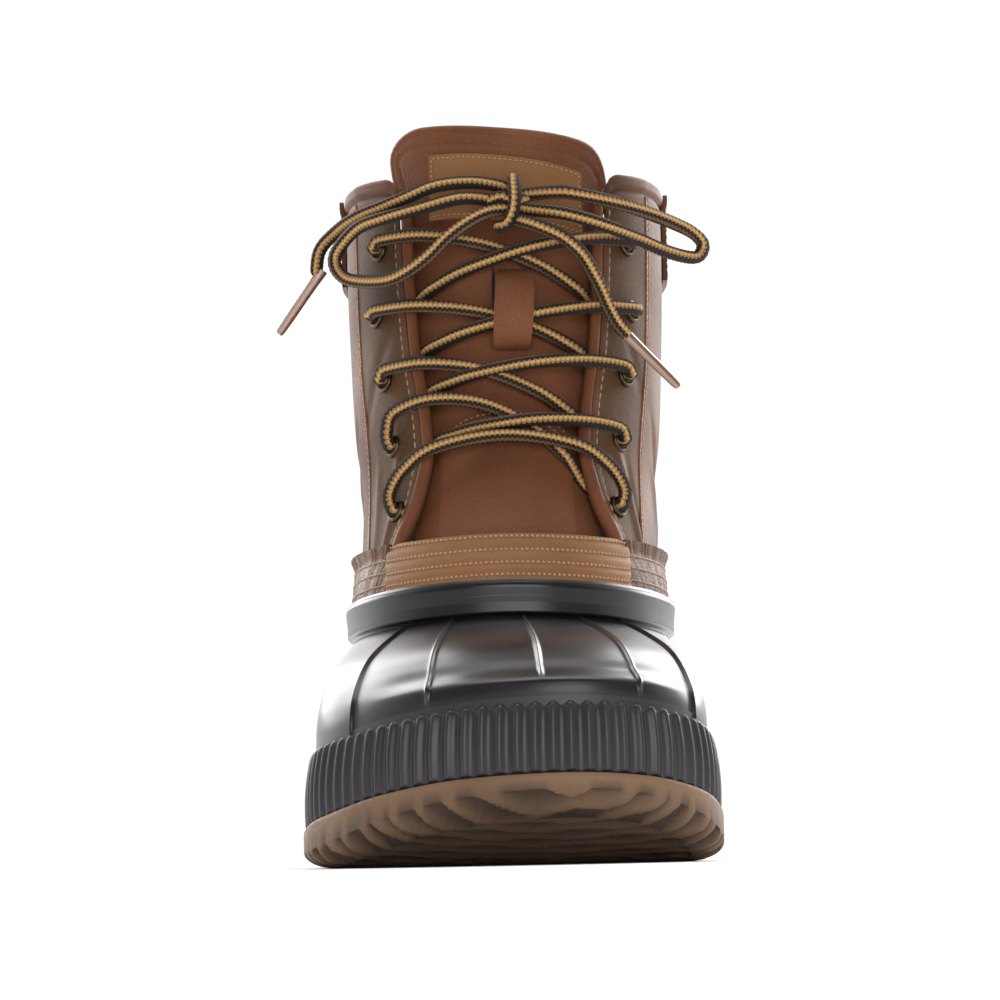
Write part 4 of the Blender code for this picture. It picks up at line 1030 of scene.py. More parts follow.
# Upper: the leather shaft, 2 mm of pull-up leather lined with cloth. Olive-brown quarters with the eyelet
# stays meet redder rear quarters in a piped side seam, and the collar's edge is rolled and faced in red.
SHAFT_RISE = COLLAR_HEIGHT - RIM_HEIGHT
STRAP_HEIGHT = 0.0135
STRAP_LEVEL = STRAP_HEIGHT / SHAFT_RISE
COLLAR_CORNER = 0.0080
COLLAR_ROLL = 0.0045
ROLL_GROOVE = 0.0006
ROLL_LIFT = 0.0007
ROLL_ROUND = 0.0012
QUARTER_STEP = 0.0005
STAY = 0.0026
STAY_LIFT = 0.0004
FACING = 0.0080
LEATHER_OLIVE = ((0.068, 0.033, 0.015, 1.0), (0.135, 0.067, 0.031, 1.0))
LEATHER_REAR = ((0.095, 0.041, 0.021, 1.0), (0.175, 0.077, 0.040, 1.0))
LEATHER_RED = ((0.145, 0.050, 0.023, 1.0), (0.250, 0.098, 0.048, 1.0))
LEATHER_TAN = ((0.225, 0.100, 0.038, 1.0), (0.360, 0.175, 0.075, 1.0))
Seam = namedtuple("Seam", "level lateral medial")
SIDE_SEAM = (
    Seam(0.00, 0.425, 0.412),
    Seam(0.12, 0.420, 0.403),
    Seam(0.28, 0.416, 0.400),
    Seam(0.55, 0.440, 0.428),
    Seam(0.80, 0.452, 0.440),
    Seam(1.00, 0.455, 0.445),
)


def grain_group():
    """Leather grain: small irregular cells, soft wrinkles and pores, and slow changes of tone."""
    group = bpy.data.node_groups.new("leather_grain", "ShaderNodeTree")
    group.interface.new_socket("Scale", in_out="INPUT", socket_type="NodeSocketFloat").default_value = 1.0
    for name in ("Tone", "Height"):
        group.interface.new_socket(name, in_out="OUTPUT", socket_type="NodeSocketFloat")
    start, end = group.nodes.new("NodeGroupInput"), group.nodes.new("NodeGroupOutput")
    place = node(group, "ShaderNodeTexCoord").outputs["Object"]
    size = node(group, "ShaderNodeVectorMath", {0: place}, operation="SCALE")
    group.links.new(start.outputs[0], size.inputs["Scale"])
    wander = node(group, "ShaderNodeTexNoise", {"Vector": size.outputs[0], "Scale": 260.0, "Detail": 2.0})
    bent = node(group, "ShaderNodeVectorMath", {0: wander.outputs["Color"]}, operation="SCALE")
    bent.inputs["Scale"].default_value = 0.0016
    moved = node(group, "ShaderNodeVectorMath", {0: size.outputs[0], 1: bent.outputs[0]}, operation="ADD")
    cells = {"Vector": moved.outputs[0], "Scale": 620.0}
    cells = node(group, "ShaderNodeTexVoronoi", cells, feature="DISTANCE_TO_EDGE").outputs[0]
    cells = ramp(group, cells, ((0.0, 0.0), (0.12, 0.8), (0.5, 1.0)))
    wrinkle = noise(group, size.outputs[0], 95.0, 5.0)
    height = maths(group, "MULTIPLY_ADD", wrinkle, 1.3, maths(group, "MULTIPLY", cells, 0.5))
    cloud = noise(group, size.outputs[0], 22.0, 6.0)
    tone = maths(group, "MULTIPLY_ADD", cells, 0.22, ramp(group, cloud, ((0.32, 0.0), (0.68, 0.75))))
    group.links.new(tone, end.inputs["Tone"])
    group.links.new(height, end.inputs["Height"])
    return group


leather_grain = grain_group()


def leather_finish(name, colours, roughness, scale=1.0, second=None, creased=0.35):
    """Pull-up leather, dark to light; second are the colours where the panel attribute is 1."""
    made, tree, shader = new_material(name, roughness, Specular_IOR_Level=0.12)
    grain = node(tree, "ShaderNodeGroup", node_tree=leather_grain)
    grain.inputs["Scale"].default_value = scale
    tone, height = grain.outputs["Tone"], grain.outputs["Height"]
    colour = mixed(tree, tone, *colours)
    if second:
        panel = node(tree, "ShaderNodeAttribute", attribute_name="panel").outputs["Fac"]
        colour = mixed(tree, panel, colour, mixed(tree, tone, *second))
    tree.links.new(colour, shader.inputs["Base Color"])
    rough = ramp(tree, tone, ((0.0, roughness + 0.08), (1.0, roughness - 0.07)))
    tree.links.new(rough, shader.inputs["Roughness"])
    bumped(tree, shader, height, creased, 0.0003)
    return made


def seam_share(level, side):
    return share_across(level, float(smooth(level, SIDE_SEAM, side)) * SHAFT_WIDTH)


# Soft folds pressed in by the lace and the ankle: across runs from the throat's edge (0) to the side seam (1)
# and on behind it, at the fold's upper and lower end; height is below 0 in a trough.
Crease = namedtuple("Crease", "side high high_across low low_across height half")
CREASES = (
    Crease(1, 0.34, 0.42, 0.06, 0.90, 0.0011, 0.0020),
    Crease(1, 0.30, 0.66, 0.10, 1.04, -0.0007, 0.0016),
    Crease(-1, 0.36, 0.34, 0.06, 0.28, 0.0009, 0.0018),
    Crease(-1, 0.30, 0.72, 0.04, 0.62, 0.0008, 0.0022),
    Crease(-1, 0.62, 0.30, 0.42, 0.95, -0.0005, 0.0026),
    Crease(1, 0.66, 0.35, 0.48, 0.90, -0.0005, 0.0026),
    Crease(1, 0.42, 1.50, 0.22, 2.60, -0.0011, 0.0032),
    Crease(-1, 0.44, 1.55, 0.24, 2.50, -0.0011, 0.0032),
    Crease(1, 0.30, 1.80, 0.14, 2.90, 0.0009, 0.0034),
    Crease(-1, 0.31, 1.90, 0.15, 3.00, 0.0009, 0.0034),
)


def creased(level, shares, edge, seam, plan_girth):
    """Relief of the folds along one level."""
    relief = np.zeros(len(shares))
    for fold in CREASES:
        along = (fold.high - level) / (fold.high - fold.low)
        fade = float(step(along, -0.25, 0.30) * (1 - step(along, 0.75, 1.25)))
        across = fold.high_across + (fold.low_across - fold.high_across) * min(1.2, max(-0.2, along))
        place = -fold.side * (edge - (edge - seam) * across)
        relief = relief + fold.height * fade * np.exp(-(((shares - place) * plan_girth / fold.half) ** 2))
    return relief


UPPER_COLUMNS = 421
levels = [np.linspace(0.0, 0.90, 72), np.linspace(0.905, 0.96, 12), np.linspace(0.9635, 1.0, 12)]
rows, panel = [], []
for level in np.concatenate(levels):
    edge = throat_share(max(level, STRAP_LEVEL * 0.8))
    plan_girth = girth_of(shaft_plan(level))
    edge -= BINDING_RADIUS * 0.2 / plan_girth
    shares = np.linspace(-edge, edge, UPPER_COLUMNS)
    seam = np.where(shares > 0, seam_share(level, "lateral"), seam_share(level, "medial"))
    behind = step((seam - np.abs(shares)) * plan_girth, -0.0002, 0.0004)
    stay = step(STAY - (edge - np.abs(shares)) * plan_girth, -0.0001, 0.0003)
    relief = QUARTER_STEP * (1 - behind) + STAY_LIFT * stay + creased(level, shares, edge, seam, plan_girth)
    drop = (1.0 - level) * SHAFT_RISE
    roll = math.exp(-(((drop - COLLAR_ROLL) / 0.0007) ** 2))
    relief = relief - ROLL_GROOVE * roll + ROLL_LIFT * step(COLLAR_ROLL - drop, 0.0002, 0.0016)
    if drop < ROLL_ROUND:
        relief = relief - 0.0010 * (1 - math.sqrt(max(0.0, 1 - (1 - drop / ROLL_ROUND) ** 2)))
    row = shaft_points(level, shares, LEATHER_OUT + relief)
    away = np.clip((edge - np.abs(shares)) * plan_girth, 0.0, COLLAR_CORNER)
    corner = COLLAR_CORNER - np.sqrt(COLLAR_CORNER**2 - (COLLAR_CORNER - away) ** 2)
    row[:, 2] -= corner * step(level, 0.80, 1.0)
    rows.append(row)
    facing = float(step(FACING - drop, -0.0002, 0.0004))
    panel.append(np.maximum(np.maximum(behind, stay), facing))
bottom = rows[0].copy()
bottom[:, 2] -= BAND_HEIGHT * 0.75
upper = lay("leather_shaft", [bottom] + rows, panel=[panel[0]] + panel)
quarter_leather = leather_finish("quarter_leather", LEATHER_OLIVE, 0.56, second=LEATHER_REAR)
upper = walled(upper, LEATHER, quarter_leather, lining_cloth)
settle(upper, quarter_leather, "brown_leather", "leather_upper")


# Stitching: waxed thread in the seams, each stitch a small bead that sinks in at both ends.
THREAD_LIGHT = (0.64, 0.43, 0.27, 1.0)
THREAD_DARK = (0.42, 0.26, 0.15, 1.0)
STITCH_THICK = 0.00055
OUT_STEP = 0.001
SEAM_ROWS = (0.0016, 0.0032)
SEAM_PITCH = 0.0021
SEAM_STITCH = 0.0016
SEAM_LIFT = 0.0001
BESIDE_BACK = 0.0022
PIPING_RADIUS = 0.0007


def thread_finish(name, colours):
    made, tree, shader = new_material(name, 0.7)
    place = node(tree, "ShaderNodeTexCoord").outputs["Object"]
    strands = noise(tree, place, 1800.0, 2.0)
    tree.links.new(mixed(tree, strands, *colours), shader.inputs["Base Color"])
    bumped(tree, shader, strands, 0.4, 0.0001)
    return made


bpy.ops.object.select_all(action="DESELECT")
bpy.ops.mesh.primitive_uv_sphere_add(segments=6, ring_count=5, radius=0.5)
stitch_bead = bpy.context.object
stitch_shape = np.array([v.co for v in stitch_bead.data.vertices])
stitch_faces = [tuple(face.vertices) for face in stitch_bead.data.polygons]
bpy.data.objects.remove(stitch_bead)


def sew(name, line, outwards, pitch, length, finish, slot, thick=STITCH_THICK):
    """A row of stitches along a line: copies of one bead, one to each pitch, joined in one piece."""
    line, outwards = np.asarray(line, float), np.asarray(outwards, float)
    steps = np.concatenate([[0.0], np.cumsum(np.linalg.norm(np.diff(line, axis=0), axis=1))])
    at = np.arange(pitch / 2, steps[-1], pitch)
    middle = np.stack([np.interp(at, steps, line[:, k]) for k in range(3)], axis=1)
    lead = np.stack([np.interp(at + 0.0002, steps, line[:, k]) for k in range(3)], axis=1)
    back = np.stack([np.interp(at - 0.0002, steps, line[:, k]) for k in range(3)], axis=1)
    ahead = (lead - back) / np.linalg.norm(lead - back, axis=1)[:, None]
    out = np.stack([np.interp(at, steps, outwards[:, k]) for k in range(3)], axis=1)
    out -= ahead * (out * ahead).sum(axis=1)[:, None]
    out /= np.linalg.norm(out, axis=1)[:, None]
    side = np.cross(out, ahead)
    shape = stitch_shape * (length, thick, thick)
    points = (
        middle[:, None, :]
        + shape[None, :, 0, None] * ahead[:, None, :]
        + shape[None, :, 1, None] * side[:, None, :]
        + (shape[None, :, 2, None] + thick * 0.15) * out[:, None, :]
    )
    count = len(stitch_shape)
    starts = count * np.arange(len(at))
    faces = [tuple(int(corner + start) for corner in face) for start in starts for face in stitch_faces]
    mesh = bpy.data.meshes.new(name)
    mesh.from_pydata(points.reshape(-1, 3).tolist(), [], faces)
    piece = bpy.data.objects.new(name, mesh)
    bpy.context.collection.objects.link(piece)
    return settle(piece, finish, slot)


def on_shaft(levels, shares, offset):
    """Points on the shaft's form, and the ways outwards there."""
    here = np.array([shaft_points(level, share, offset)[0] for level, share in zip(levels, shares)])
    further = offset + OUT_STEP
    there = np.array([shaft_points(level, share, further)[0] for level, share in zip(levels, shares)])
    return here, (there - here) / OUT_STEP


light_thread = thread_finish("light_thread", (THREAD_DARK, THREAD_LIGHT))
piping = leather_finish("piping_leather", LEATHER_RED, 0.40, scale=2.0)
seam_levels = np.linspace(STRAP_LEVEL * 0.9, 0.955, 60)
for side, name in ((-1, "lateral"), (1, "medial")):
    girths = np.array([girth_of(shaft_plan(level)) for level in seam_levels])
    seams = np.array([seam_share(level, name) for level in seam_levels])
    for index, back in enumerate(SEAM_ROWS):
        shares = -side * (seams - back / girths)
        line, out = on_shaft(seam_levels, shares, LEATHER_OUT + SEAM_LIFT)
        row = f"side_stitches_{name}_{index + 1}"
        sew(row, line, out, SEAM_PITCH, SEAM_STITCH, light_thread, "brown_leather")
    line, out = on_shaft(seam_levels, -side * seams, LEATHER_OUT + 0.0002)
    tube = plain_tube(f"side_piping_{name}", line, np.full(len(line), PIPING_RADIUS), 8)
    settle(tube, piping, "brown_leather")


back_levels = np.linspace(STRAP_LEVEL * 0.9, 1.0 - 0.0290 / SHAFT_RISE, 60)
girths = np.array([girth_of(shaft_plan(level)) for level in back_levels])
for index, beside in enumerate((-BESIDE_BACK, BESIDE_BACK)):
    line, out = on_shaft(back_levels, beside / girths, LEATHER_OUT + SEAM_LIFT)
    sew(f"back_stitches_{index + 1}", line, out, SEAM_PITCH, SEAM_STITCH, light_thread, "brown_leather")
line, out = on_shaft(back_levels, np.zeros(60), LEATHER_OUT + SEAM_LIFT)
settle(plain_tube("back_piping", line, np.full(60, PIPING_RADIUS), 8), piping, "brown_leather")


# Straps: the tan strip over the vamp's joint with its four rows of stitches, and the brown strip round the
# sides and heel, its upper edge turned out like a lip.
STRAP_THICKNESS = 0.0014
STRAP_FLARE = 0.0016
STRAP_GATHER = 0.0042
STRAP_RUFFLE = 0.00022
PULL_HALF = 0.0009
STRAP_ROWS = (0.10, 0.36, 0.64, 0.93)
SIDE_STRAP_ROWS = (0.15, 0.42, 0.68)
STRAP_STITCH = 0.00150


def strap_rows(shares_at, offset, flare, levels):
    rows = []
    for level in levels:
        lip = flare * step(level / STRAP_LEVEL, 0.72, 1.05)
        shares = shares_at(level)
        turn = shares * girth_of(shaft_plan(level)) / STRAP_GATHER * 2 * math.pi
        gather = np.sin(turn + 2.2 * np.sin(turn * 0.37) + 9.0 * level) * np.sin(turn * 0.23 + 1.0)
        rows.append(shaft_points(level, shares, offset + lip + STRAP_RUFFLE * gather))
    return rows


def front_shares(level, columns=161):
    edge = throat_share(level) - 0.0005
    return np.linspace(edge, 1.0 - edge, columns)


def side_shares(level, columns=641):
    edge = throat_share(level) + 0.0015
    return np.linspace(-edge, edge, columns)


strap_levels = STRAP_LEVEL * np.linspace(-0.35, 1.0, 24)
tan_leather = leather_finish("tan_leather", LEATHER_TAN, 0.42, scale=1.2)
brown_strap = leather_finish("strap_leather", LEATHER_REAR, 0.42, scale=1.6, creased=0.9)
offset = LEATHER_OUT + 2 * GAP + STRAP_THICKNESS
rows = []
for level in strap_levels:
    place = level / STRAP_LEVEL
    pull = sum(math.exp(-(((place - row) * STRAP_HEIGHT / PULL_HALF) ** 2)) for row in STRAP_ROWS)
    edge = 1 - math.sqrt(max(0.0, 1 - max(0.0, (place - 0.92) / 0.08) ** 2))
    rows.append(shaft_points(level, front_shares(level), offset + 0.0003 - 0.0004 * pull - 0.0008 * edge))
settle(walled(lay("tan_strap", rows), STRAP_THICKNESS), tan_leather, "tan_leather", "front_strap")
for index, row in enumerate(STRAP_ROWS):
    shares = front_shares(row * STRAP_LEVEL, 200)
    line, out = on_shaft(np.full(200, row * STRAP_LEVEL), shares, offset)
    name = f"front_strap_stitches_{index + 1}"
    sew(name, line, out, STRAP_STITCH, 0.0010, light_thread, "tan_leather", 0.0009)

rows = strap_rows(side_shares, LEATHER_OUT + GAP + STRAP_THICKNESS, STRAP_FLARE, strap_levels)
settle(walled(lay("ruffled_strap", rows), STRAP_THICKNESS), brown_strap, "brown_leather", "side_strap")
for index, row in enumerate(SIDE_STRAP_ROWS):
    shares = side_shares(row * STRAP_LEVEL, 400)
    line, out = on_shaft(np.full(400, row * STRAP_LEVEL), shares, LEATHER_OUT + GAP + STRAP_THICKNESS)
    name = f"side_strap_stitches_{index + 1}"
    sew(name, line, out, STRAP_STITCH, 0.0011, light_thread, "brown_leather", 0.0006)


# Cuff: a leather band sewn round the back of the collar.
CUFF_HEIGHT = 0.0260
CUFF_THICKNESS = 0.0014
CUFF_REACH = 0.655
CUFF_PITCH = 0.0024
CUFF_STITCH = 0.0018
CUFF_OUT = LEATHER_OUT + GAP + CUFF_THICKNESS
cuff_leather = leather_finish("cuff_leather", LEATHER_REAR, 0.45)
cuff_foot = 1.0 - CUFF_HEIGHT / SHAFT_RISE
rows = []
for level in np.linspace(cuff_foot, 0.998, 26):
    edge = throat_share(level) * CUFF_REACH
    drop = (1.0 - level) * SHAFT_RISE
    relief = 0.0006 * step(COLLAR_ROLL - drop, 0.0002, 0.0016)
    rows.append(shaft_points(level, np.linspace(-edge, edge, 161), CUFF_OUT + relief))
settle(walled(lay("collar_band", rows), CUFF_THICKNESS), cuff_leather, "brown_leather", "collar_cuff")
for index, above in enumerate((0.0018, CUFF_HEIGHT - 0.0068)):
    level = cuff_foot + above / SHAFT_RISE
    shares = np.linspace(-1.0, 1.0, 200) * (throat_share(level) * CUFF_REACH - 0.003)
    line, out = on_shaft(np.full(200, level), shares, CUFF_OUT)
    sew(f"cuff_stitches_{index + 1}", line, out, CUFF_PITCH, CUFF_STITCH, light_thread, "brown_leather")
for side, name in ((-1, "lateral"), (1, "medial")):
    cuff_levels = np.linspace(cuff_foot + 0.01, 0.955, 20)
    shares = np.array([-side * (throat_share(level) * CUFF_REACH - 0.004) for level in cuff_levels])
    line, out = on_shaft(cuff_levels, shares, CUFF_OUT)
    row = f"cuff_end_stitches_{name}"
    sew(row, line, out, CUFF_PITCH, CUFF_STITCH, light_thread, "brown_leather", 0.00035)


# Bindings: soft leather rolled over the throat's edges, each with a row of long stitches beside it.
binding_levels = np.linspace(STRAP_LEVEL * 0.80, 0.93, 92)
binding_leather = leather_finish("binding_leather", LEATHER_RED, 0.40, scale=1.5)
for side, name in ((-1, "lateral"), (1, "medial")):
    shares, stitch_shares = [], []
    for level in binding_levels:
        around = girth_of(shaft_plan(level))
        edge = throat_share(level)
        shares.append(-side * (edge + (BINDING_RADIUS * 0.55) / around))
        stitch_shares.append(-side * (edge - 0.0030 / around))
    line, out = on_shaft(binding_levels, shares, LEATHER_OUT - LEATHER / 2 + 0.0003)
    widths = np.interp(binding_levels, (STRAP_LEVEL, 0.35, 0.6), (0.0023, 0.0019, 0.0017))
    widths[0] = widths[-1] = 0.0
    line[0], line[-1] = line[1], line[-2]
    line[0] += (line[1] - line[2]) * 0.05
    line[-1] += (line[-2] - line[-3]) * 0.05
    binding = plain_tube(f"rolled_binding_{name}", line, widths, 16)
    settle(binding, binding_leather, "brown_leather", f"throat_binding_{name}", angle=60.0)
    line, out = on_shaft(binding_levels, stitch_shares, LEATHER_OUT + QUARTER_STEP)
    sew(f"stay_stitches_{name}", line, out, 0.0031, 0.0024, light_thread, "brown_leather")


# Tongue: soft leather behind the lace, crowned in the middle and falling away under the stays, its upper
# edge turned over a cord and stitched. The vamp's point overlaps its foot.
TONGUE_THICKNESS = 0.0030
TONGUE_HALF = 0.0375
TONGUE_STANDS = 0.0155
TONGUE_TILT = 0.0040
TONGUE_CORNER = 0.0150
TONGUE_FALLS = 0.0015
TONGUE_SPREAD = 0.28
TONGUE_ARCH = 0.0056
TONGUE_SEAM = 0.0042
ROLL_FROM = 0.190
VAMP_TIP = 0.1345
VAMP_DROP = 0.0085
VAMP_LIFT = 0.0010


def tongue_top(across):
    """Height of the tongue's upper edge: rounded corners, a little higher on the outer side."""
    place = across / TONGUE_HALF
    top = COLLAR_HEIGHT + TONGUE_STANDS - TONGUE_TILT * place - TONGUE_ARCH * (place**2 - 0.3)
    past = np.clip(abs(across) - (TONGUE_HALF - TONGUE_CORNER), 0.0, TONGUE_CORNER)
    return top - TONGUE_CORNER * (1 - math.sqrt(max(0.0, 1 - (past / TONGUE_CORNER) ** 2)) ** 0.8)


def tongue_face(height, across, lift=0.0):
    """A point of the tongue's outer face at a height and a distance across."""
    level = level_at(height, 0.5)
    gap = THROAT_HALF * float(smooth(level, THROAT, "half"))
    falls = TONGUE_FALLS * float(step(abs(across), gap - 0.016, gap)) * float(1 - step(level, 1.0, 1.1))
    falls += 0.0012 * max(0.0, 1 - level / 0.12)
    spread = 1 + TONGUE_SPREAD * min(1.0, max(0.0, (level - 0.86) / 0.20))
    return front_point(level, across * spread, TONGUE_OUT - falls + lift)


tongue_leather = leather_finish("tongue_leather", LEATHER_RED, 0.46, creased=0.6)
start = RIM_HEIGHT + STRAP_HEIGHT / 4
acrosses = TONGUE_HALF * np.sin(np.linspace(-math.pi / 2, math.pi / 2, 61))
rows = []
for up in np.concatenate([np.linspace(0.0, 0.90, 62), np.linspace(0.908, 1.0, 20)]):
    row = []
    for across in acrosses:
        inset = min((1 - up) * (tongue_top(across) - start), TONGUE_HALF - abs(across))
        crease = -0.0005 * math.exp(-(((inset - TONGUE_SEAM) / 0.0006) ** 2)) if up > 0.7 else 0.0
        row.append(tongue_face(start + (tongue_top(across) - start) * up, across, crease))
    rows.append(row)
tongue = walled(lay("soft_tongue", rows), TONGUE_THICKNESS, tongue_leather, lining_cloth)
settle(tongue, tongue_leather, "brown_leather", "tongue")
corner = acrosses[2]
middle = -TONGUE_THICKNESS / 2
going_up = np.linspace(ROLL_FROM, tongue_top(corner) - 0.0012, 10)
going_down = np.linspace(tongue_top(-corner) - 0.0012, ROLL_FROM, 10)
edge = [tongue_face(height, corner, middle) for height in going_up]
edge += [tongue_face(tongue_top(across) - 0.0002, across, middle) for across in acrosses[2:-2]]
edge += [tongue_face(height, -corner, middle) for height in going_down]
roll = plain_tube("tongue_roll", edge, np.full(len(edge), 0.0017), 12)
settle(roll, piping, "brown_leather", angle=60.0)


def vamp_edge(across, half):
    """Height of the vamp's stitched edge, an arch over the tongue's foot."""
    return VAMP_TIP - VAMP_DROP * abs(across / half) ** 2.6


half = THROAT_HALF * float(smooth(0.30, THROAT, "half")) - 0.0015
rows = []
for up in np.linspace(0.0, 1.0, 34):
    row = []
    for share in np.sin(np.linspace(-math.pi / 2, math.pi / 2, 41)):
        height = start + (vamp_edge(share, 1.0) - start) * up
        edge = 0.0005 * max(0.0, (up - 0.97) / 0.03) ** 2
        seam = 0.0003 * math.exp(-(((1 - up) * (VAMP_TIP - start) - 0.0021) / 0.0007) ** 2)
        row.append(tongue_face(height, share * half, VAMP_LIFT - edge - seam))
    rows.append(row)
settle(walled(lay("vamp_point", rows), VAMP_LIFT + 0.0004), tongue_leather, "brown_leather")
for index, inset in enumerate((0.0014, 0.0034)):
    shares = np.linspace(-0.95, 0.95, 60)
    heights = [vamp_edge(share, 1.0) - inset for share in shares]
    here, there = (
        [tongue_face(height, share * half, lift) for height, share in zip(heights, shares)]
        for lift in (VAMP_LIFT, VAMP_LIFT + OUT_STEP)
    )
    out = (np.array(there) - here) / OUT_STEP
    sew(f"vamp_stitches_{index + 1}", here, out, 0.0018, 0.0012, light_thread, "brown_leather", 0.0004)


# Patch: bare tan leather sewn to the tongue near its top.
PATCH_HALF = 0.0262
PATCH_SIDE = 0.0015
PATCH_HEIGHT = 0.0200
PATCH_THICKNESS = 0.0010
PATCH_MIDDLE = COLLAR_HEIGHT - 0.0005
PATCH_STITCH = 0.0011


def patch_point(across, up, lift):
    """A point of the patch: up runs from its lower edge (0) to its upper one (1)."""
    place = (PATCH_SIDE + across) / TONGUE_HALF
    height = PATCH_MIDDLE + (up - 0.5) * PATCH_HEIGHT - TONGUE_TILT * place - TONGUE_ARCH * place**2
    offset = TONGUE_OUT + 2 * GAP + PATCH_THICKNESS + lift
    return front_point(level_at(height, 0.5), PATCH_SIDE + across, offset)


rows = []
for up in np.linspace(0.0, 1.0, 21):
    row = []
    for across in np.linspace(-PATCH_HALF, PATCH_HALF, 41):
        inside = min(PATCH_HALF - abs(across), min(up, 1 - up) * PATCH_HEIGHT)
        row.append(patch_point(across, up, -0.0003 * math.exp(-(((inside - PATCH_STITCH) / 0.0006) ** 2))))
    rows.append(row)
settle(walled(lay("bare_patch", rows), PATCH_THICKNESS), tan_leather, "tan_leather", "tongue_patch")
side, low, high = PATCH_HALF - PATCH_STITCH, PATCH_STITCH / PATCH_HEIGHT, 1 - PATCH_STITCH / PATCH_HEIGHT
corners = ((-side, low), (side, low), (side, high), (-side, high), (-side, low))
line = []
for (x0, up0), (x1, up1) in zip(corners[:-1], corners[1:]):
    line += [(x0 + (x1 - x0) * t, up0 + (up1 - up0) * t) for t in np.linspace(0.0, 1.0, 24, endpoint=False)]
here = [patch_point(x, up, -0.0001) for x, up in line]
there = [patch_point(x, up, 0.0009) for x, up in line]
out = (np.array(there) - here) / OUT_STEP
sew("patch_stitches", here, out, 0.0016, 0.0010, light_thread, "tan_leather", 0.00045)


# Keeper: a short strap cut in the tongue that bows over the crossed lace.
KEEPER_WIDTH = 0.0110
KEEPER_LENGTH = 0.0250
KEEPER_THICKNESS = 0.0012
KEEPER_HEIGHT = 0.1652
KEEPER_SIDE = 0.0030
KEEPER_BOW = 0.0092
rows = []
for up in np.linspace(-0.5, 0.5, 30):
    lift = 2 * GAP + KEEPER_THICKNESS + KEEPER_BOW * max(0.0, math.cos(math.pi * up)) ** 0.6
    lean = -0.0012 * up
    row = []
    for x in np.linspace(-KEEPER_WIDTH / 2, KEEPER_WIDTH / 2, 13):
        curl = 0.0008 * (2 * x / KEEPER_WIDTH) ** 2
        height = KEEPER_HEIGHT + up * KEEPER_LENGTH
        offset = TONGUE_OUT + lift - curl * math.cos(math.pi * up)
        row.append(front_point(level_at(height, 0.5), KEEPER_SIDE + x - lean, offset))
    rows.append(row)
settle(walled(lay("keeper_strap", rows), KEEPER_THICKNESS), tongue_leather, "brown_leather", "lace_keeper")


# Slits: thin dark tubes along the keeper's cuts, a painted shadow in each cut.
for name, x, low, high in (("side", -0.0062, 0.1655, 0.1790), ("top", 0.0066, 0.1735, 0.1765)):
    heights = np.linspace(low, high, 12)
    line = [front_point(level_at(height, 0.5), KEEPER_SIDE + x, TONGUE_OUT + 0.0001) for height in heights]
    widths = 0.00045 * np.sqrt(np.clip(1 - np.linspace(-1.0, 1.0, 12) ** 4, 0.0, 1.0))
    settle(plain_tube(f"keeper_slit_shadow_{name}", line, widths, 8), dark_rubber, "dark_rubber")
turns = np.linspace(-1.0, 1.0, 21)
low = KEEPER_HEIGHT - KEEPER_LENGTH / 2 + 0.0006
line = []
for turn in turns:
    level, across = level_at(low + 0.0012 * turn**2, 0.5), KEEPER_SIDE + turn * KEEPER_WIDTH * 0.56
    line.append(front_point(level, across, TONGUE_OUT + 0.0012))
widths = 0.0009 * np.sqrt(np.clip(1.02 - turns**4, 0.0, 1.0))
settle(plain_tube("keeper_end", line, widths, 10), piping, "brown_leather")


# Eyelets: turned brass with an antique finish, a barrel through the leather under a rounded flange.
BRASS_DARK = (0.030, 0.023, 0.017, 1.0)
BRASS_LIGHT = (0.17, 0.125, 0.078, 1.0)
Turn = namedtuple("Turn", "radius height")
EYELET_PROFILE = (
    Turn(0.0022, -0.0022),
    Turn(0.0022, 0.0002),
    Turn(0.0023, 0.0007),
    Turn(0.0026, 0.0011),
    Turn(0.0029, 0.0012),
    Turn(0.0032, 0.0010),
    Turn(0.0034, 0.0006),
    Turn(0.0035, 0.0001),
    Turn(0.0034, 0.0000),
)


def brass_finish():
    """Antique brass: dark patina, brighter in cloudy patches."""
    made, tree, shader = new_material("antique_brass", 0.40, metallic=1.0)
    place = node(tree, "ShaderNodeTexCoord").outputs["Object"]
    cloud = noise(tree, place, 420.0, 3.0)
    tree.links.new(mixed(tree, cloud, BRASS_DARK, BRASS_LIGHT), shader.inputs["Base Color"])
    return made


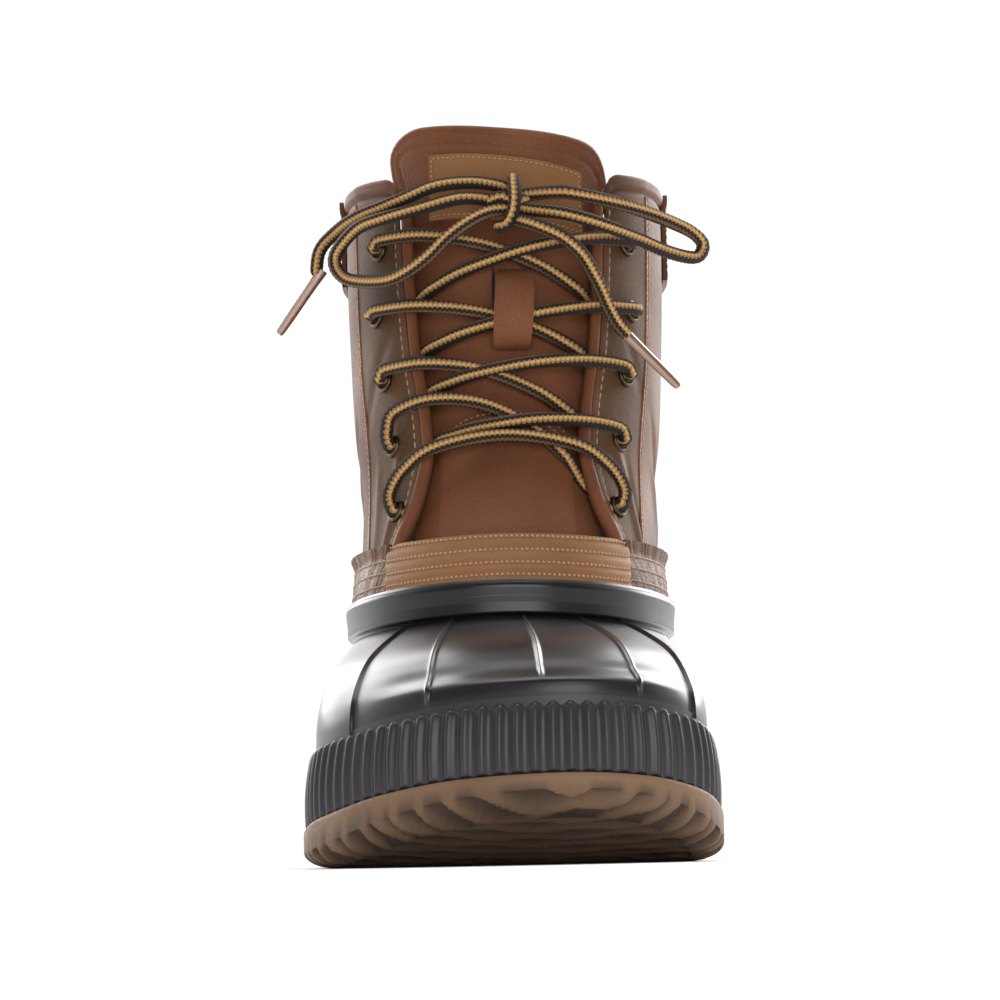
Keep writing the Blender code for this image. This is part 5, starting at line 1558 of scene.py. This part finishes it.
antique_brass = brass_finish()
turns = np.linspace(0.0, 2 * math.pi, 33)
for side, name in ((-1, "lateral"), (1, "medial")):
    for row in range(len(EYELET_HALVES)):
        place, outwards = eyelet_place(row, side)
        across = np.cross((0.0, 0.0, 1.0), outwards)
        across /= np.linalg.norm(across)
        above = np.cross(outwards, across)
        rows = [
            place
            + ring.radius * (np.cos(turns)[:, None] * across + np.sin(turns)[:, None] * above)
            + (ring.height + QUARTER_STEP) * outwards
            for ring in EYELET_PROFILE
        ]
        eyelet = lay(f"brass_eyelet_{name}_{row + 1}", rows[::-1], weld=True)
        settle(eyelet, antique_brass, "antique_brass", f"eyelet_{name}_{row + 1}", angle=60.0)


# Stage: a plain white floor and a white surround that is dimmer on the camera's side, with soft lights from
# behind on both sides, above and in front, as in a studio.
FLOOR_SIZE = 3.4
SKY_STOPS = ((0.0, 0.10), (0.30, 0.20), (0.50, 0.75), (0.58, 1.0))
SKY_STRENGTH = 1.04
bpy.ops.mesh.primitive_plane_add(size=FLOOR_SIZE, location=(0.0, 0.0, 0.0))
floor = bpy.context.object
floor.name = "floor"
pale, tree, shader = new_material("pale_floor", 0.6)
shader.inputs["Base Color"].default_value = (0.94, 0.94, 0.94, 1.0)
floor.data.materials.append(pale)

Lamp = namedtuple("Lamp", "name place aim size power")
LAMPS = (
    Lamp("back_left", (-1.0, 1.5, 0.9), (0.0, 0.0, 0.08), 1.3, 24.0),
    Lamp("back_right", (1.0, 1.5, 0.9), (0.0, 0.0, 0.08), 1.3, 36.0),
    Lamp("above", (0.0, 0.1, 1.9), (0.0, 0.0, 0.1), 1.2, 10.0),
    Lamp("front", (0.15, -1.9, 0.35), (0.0, 0.0, 0.10), 1.1, 14.0),
)
for lamp in LAMPS:
    bpy.ops.object.light_add(type="AREA", location=lamp.place)
    light = bpy.context.object
    light.name = lamp.name
    light.data.size = lamp.size
    light.data.energy = lamp.power
    light.rotation_euler = (Vector(lamp.aim) - Vector(lamp.place)).to_track_quat("-Z", "Y").to_euler()
world = bpy.data.worlds.new("studio")
bpy.context.scene.world = world
world.use_nodes = True
sky = world.node_tree
way = node(sky, "ShaderNodeTexCoord").outputs["Generated"]
ahead = node(sky, "ShaderNodeSeparateXYZ", {0: way}).outputs[1]
shade = ramp(sky, maths(sky, "MULTIPLY_ADD", ahead, 0.5, 0.5), SKY_STOPS)
sky.links.new(shade, sky.nodes["Background"].inputs[0])
sky.nodes["Background"].inputs[1].default_value = SKY_STRENGTH
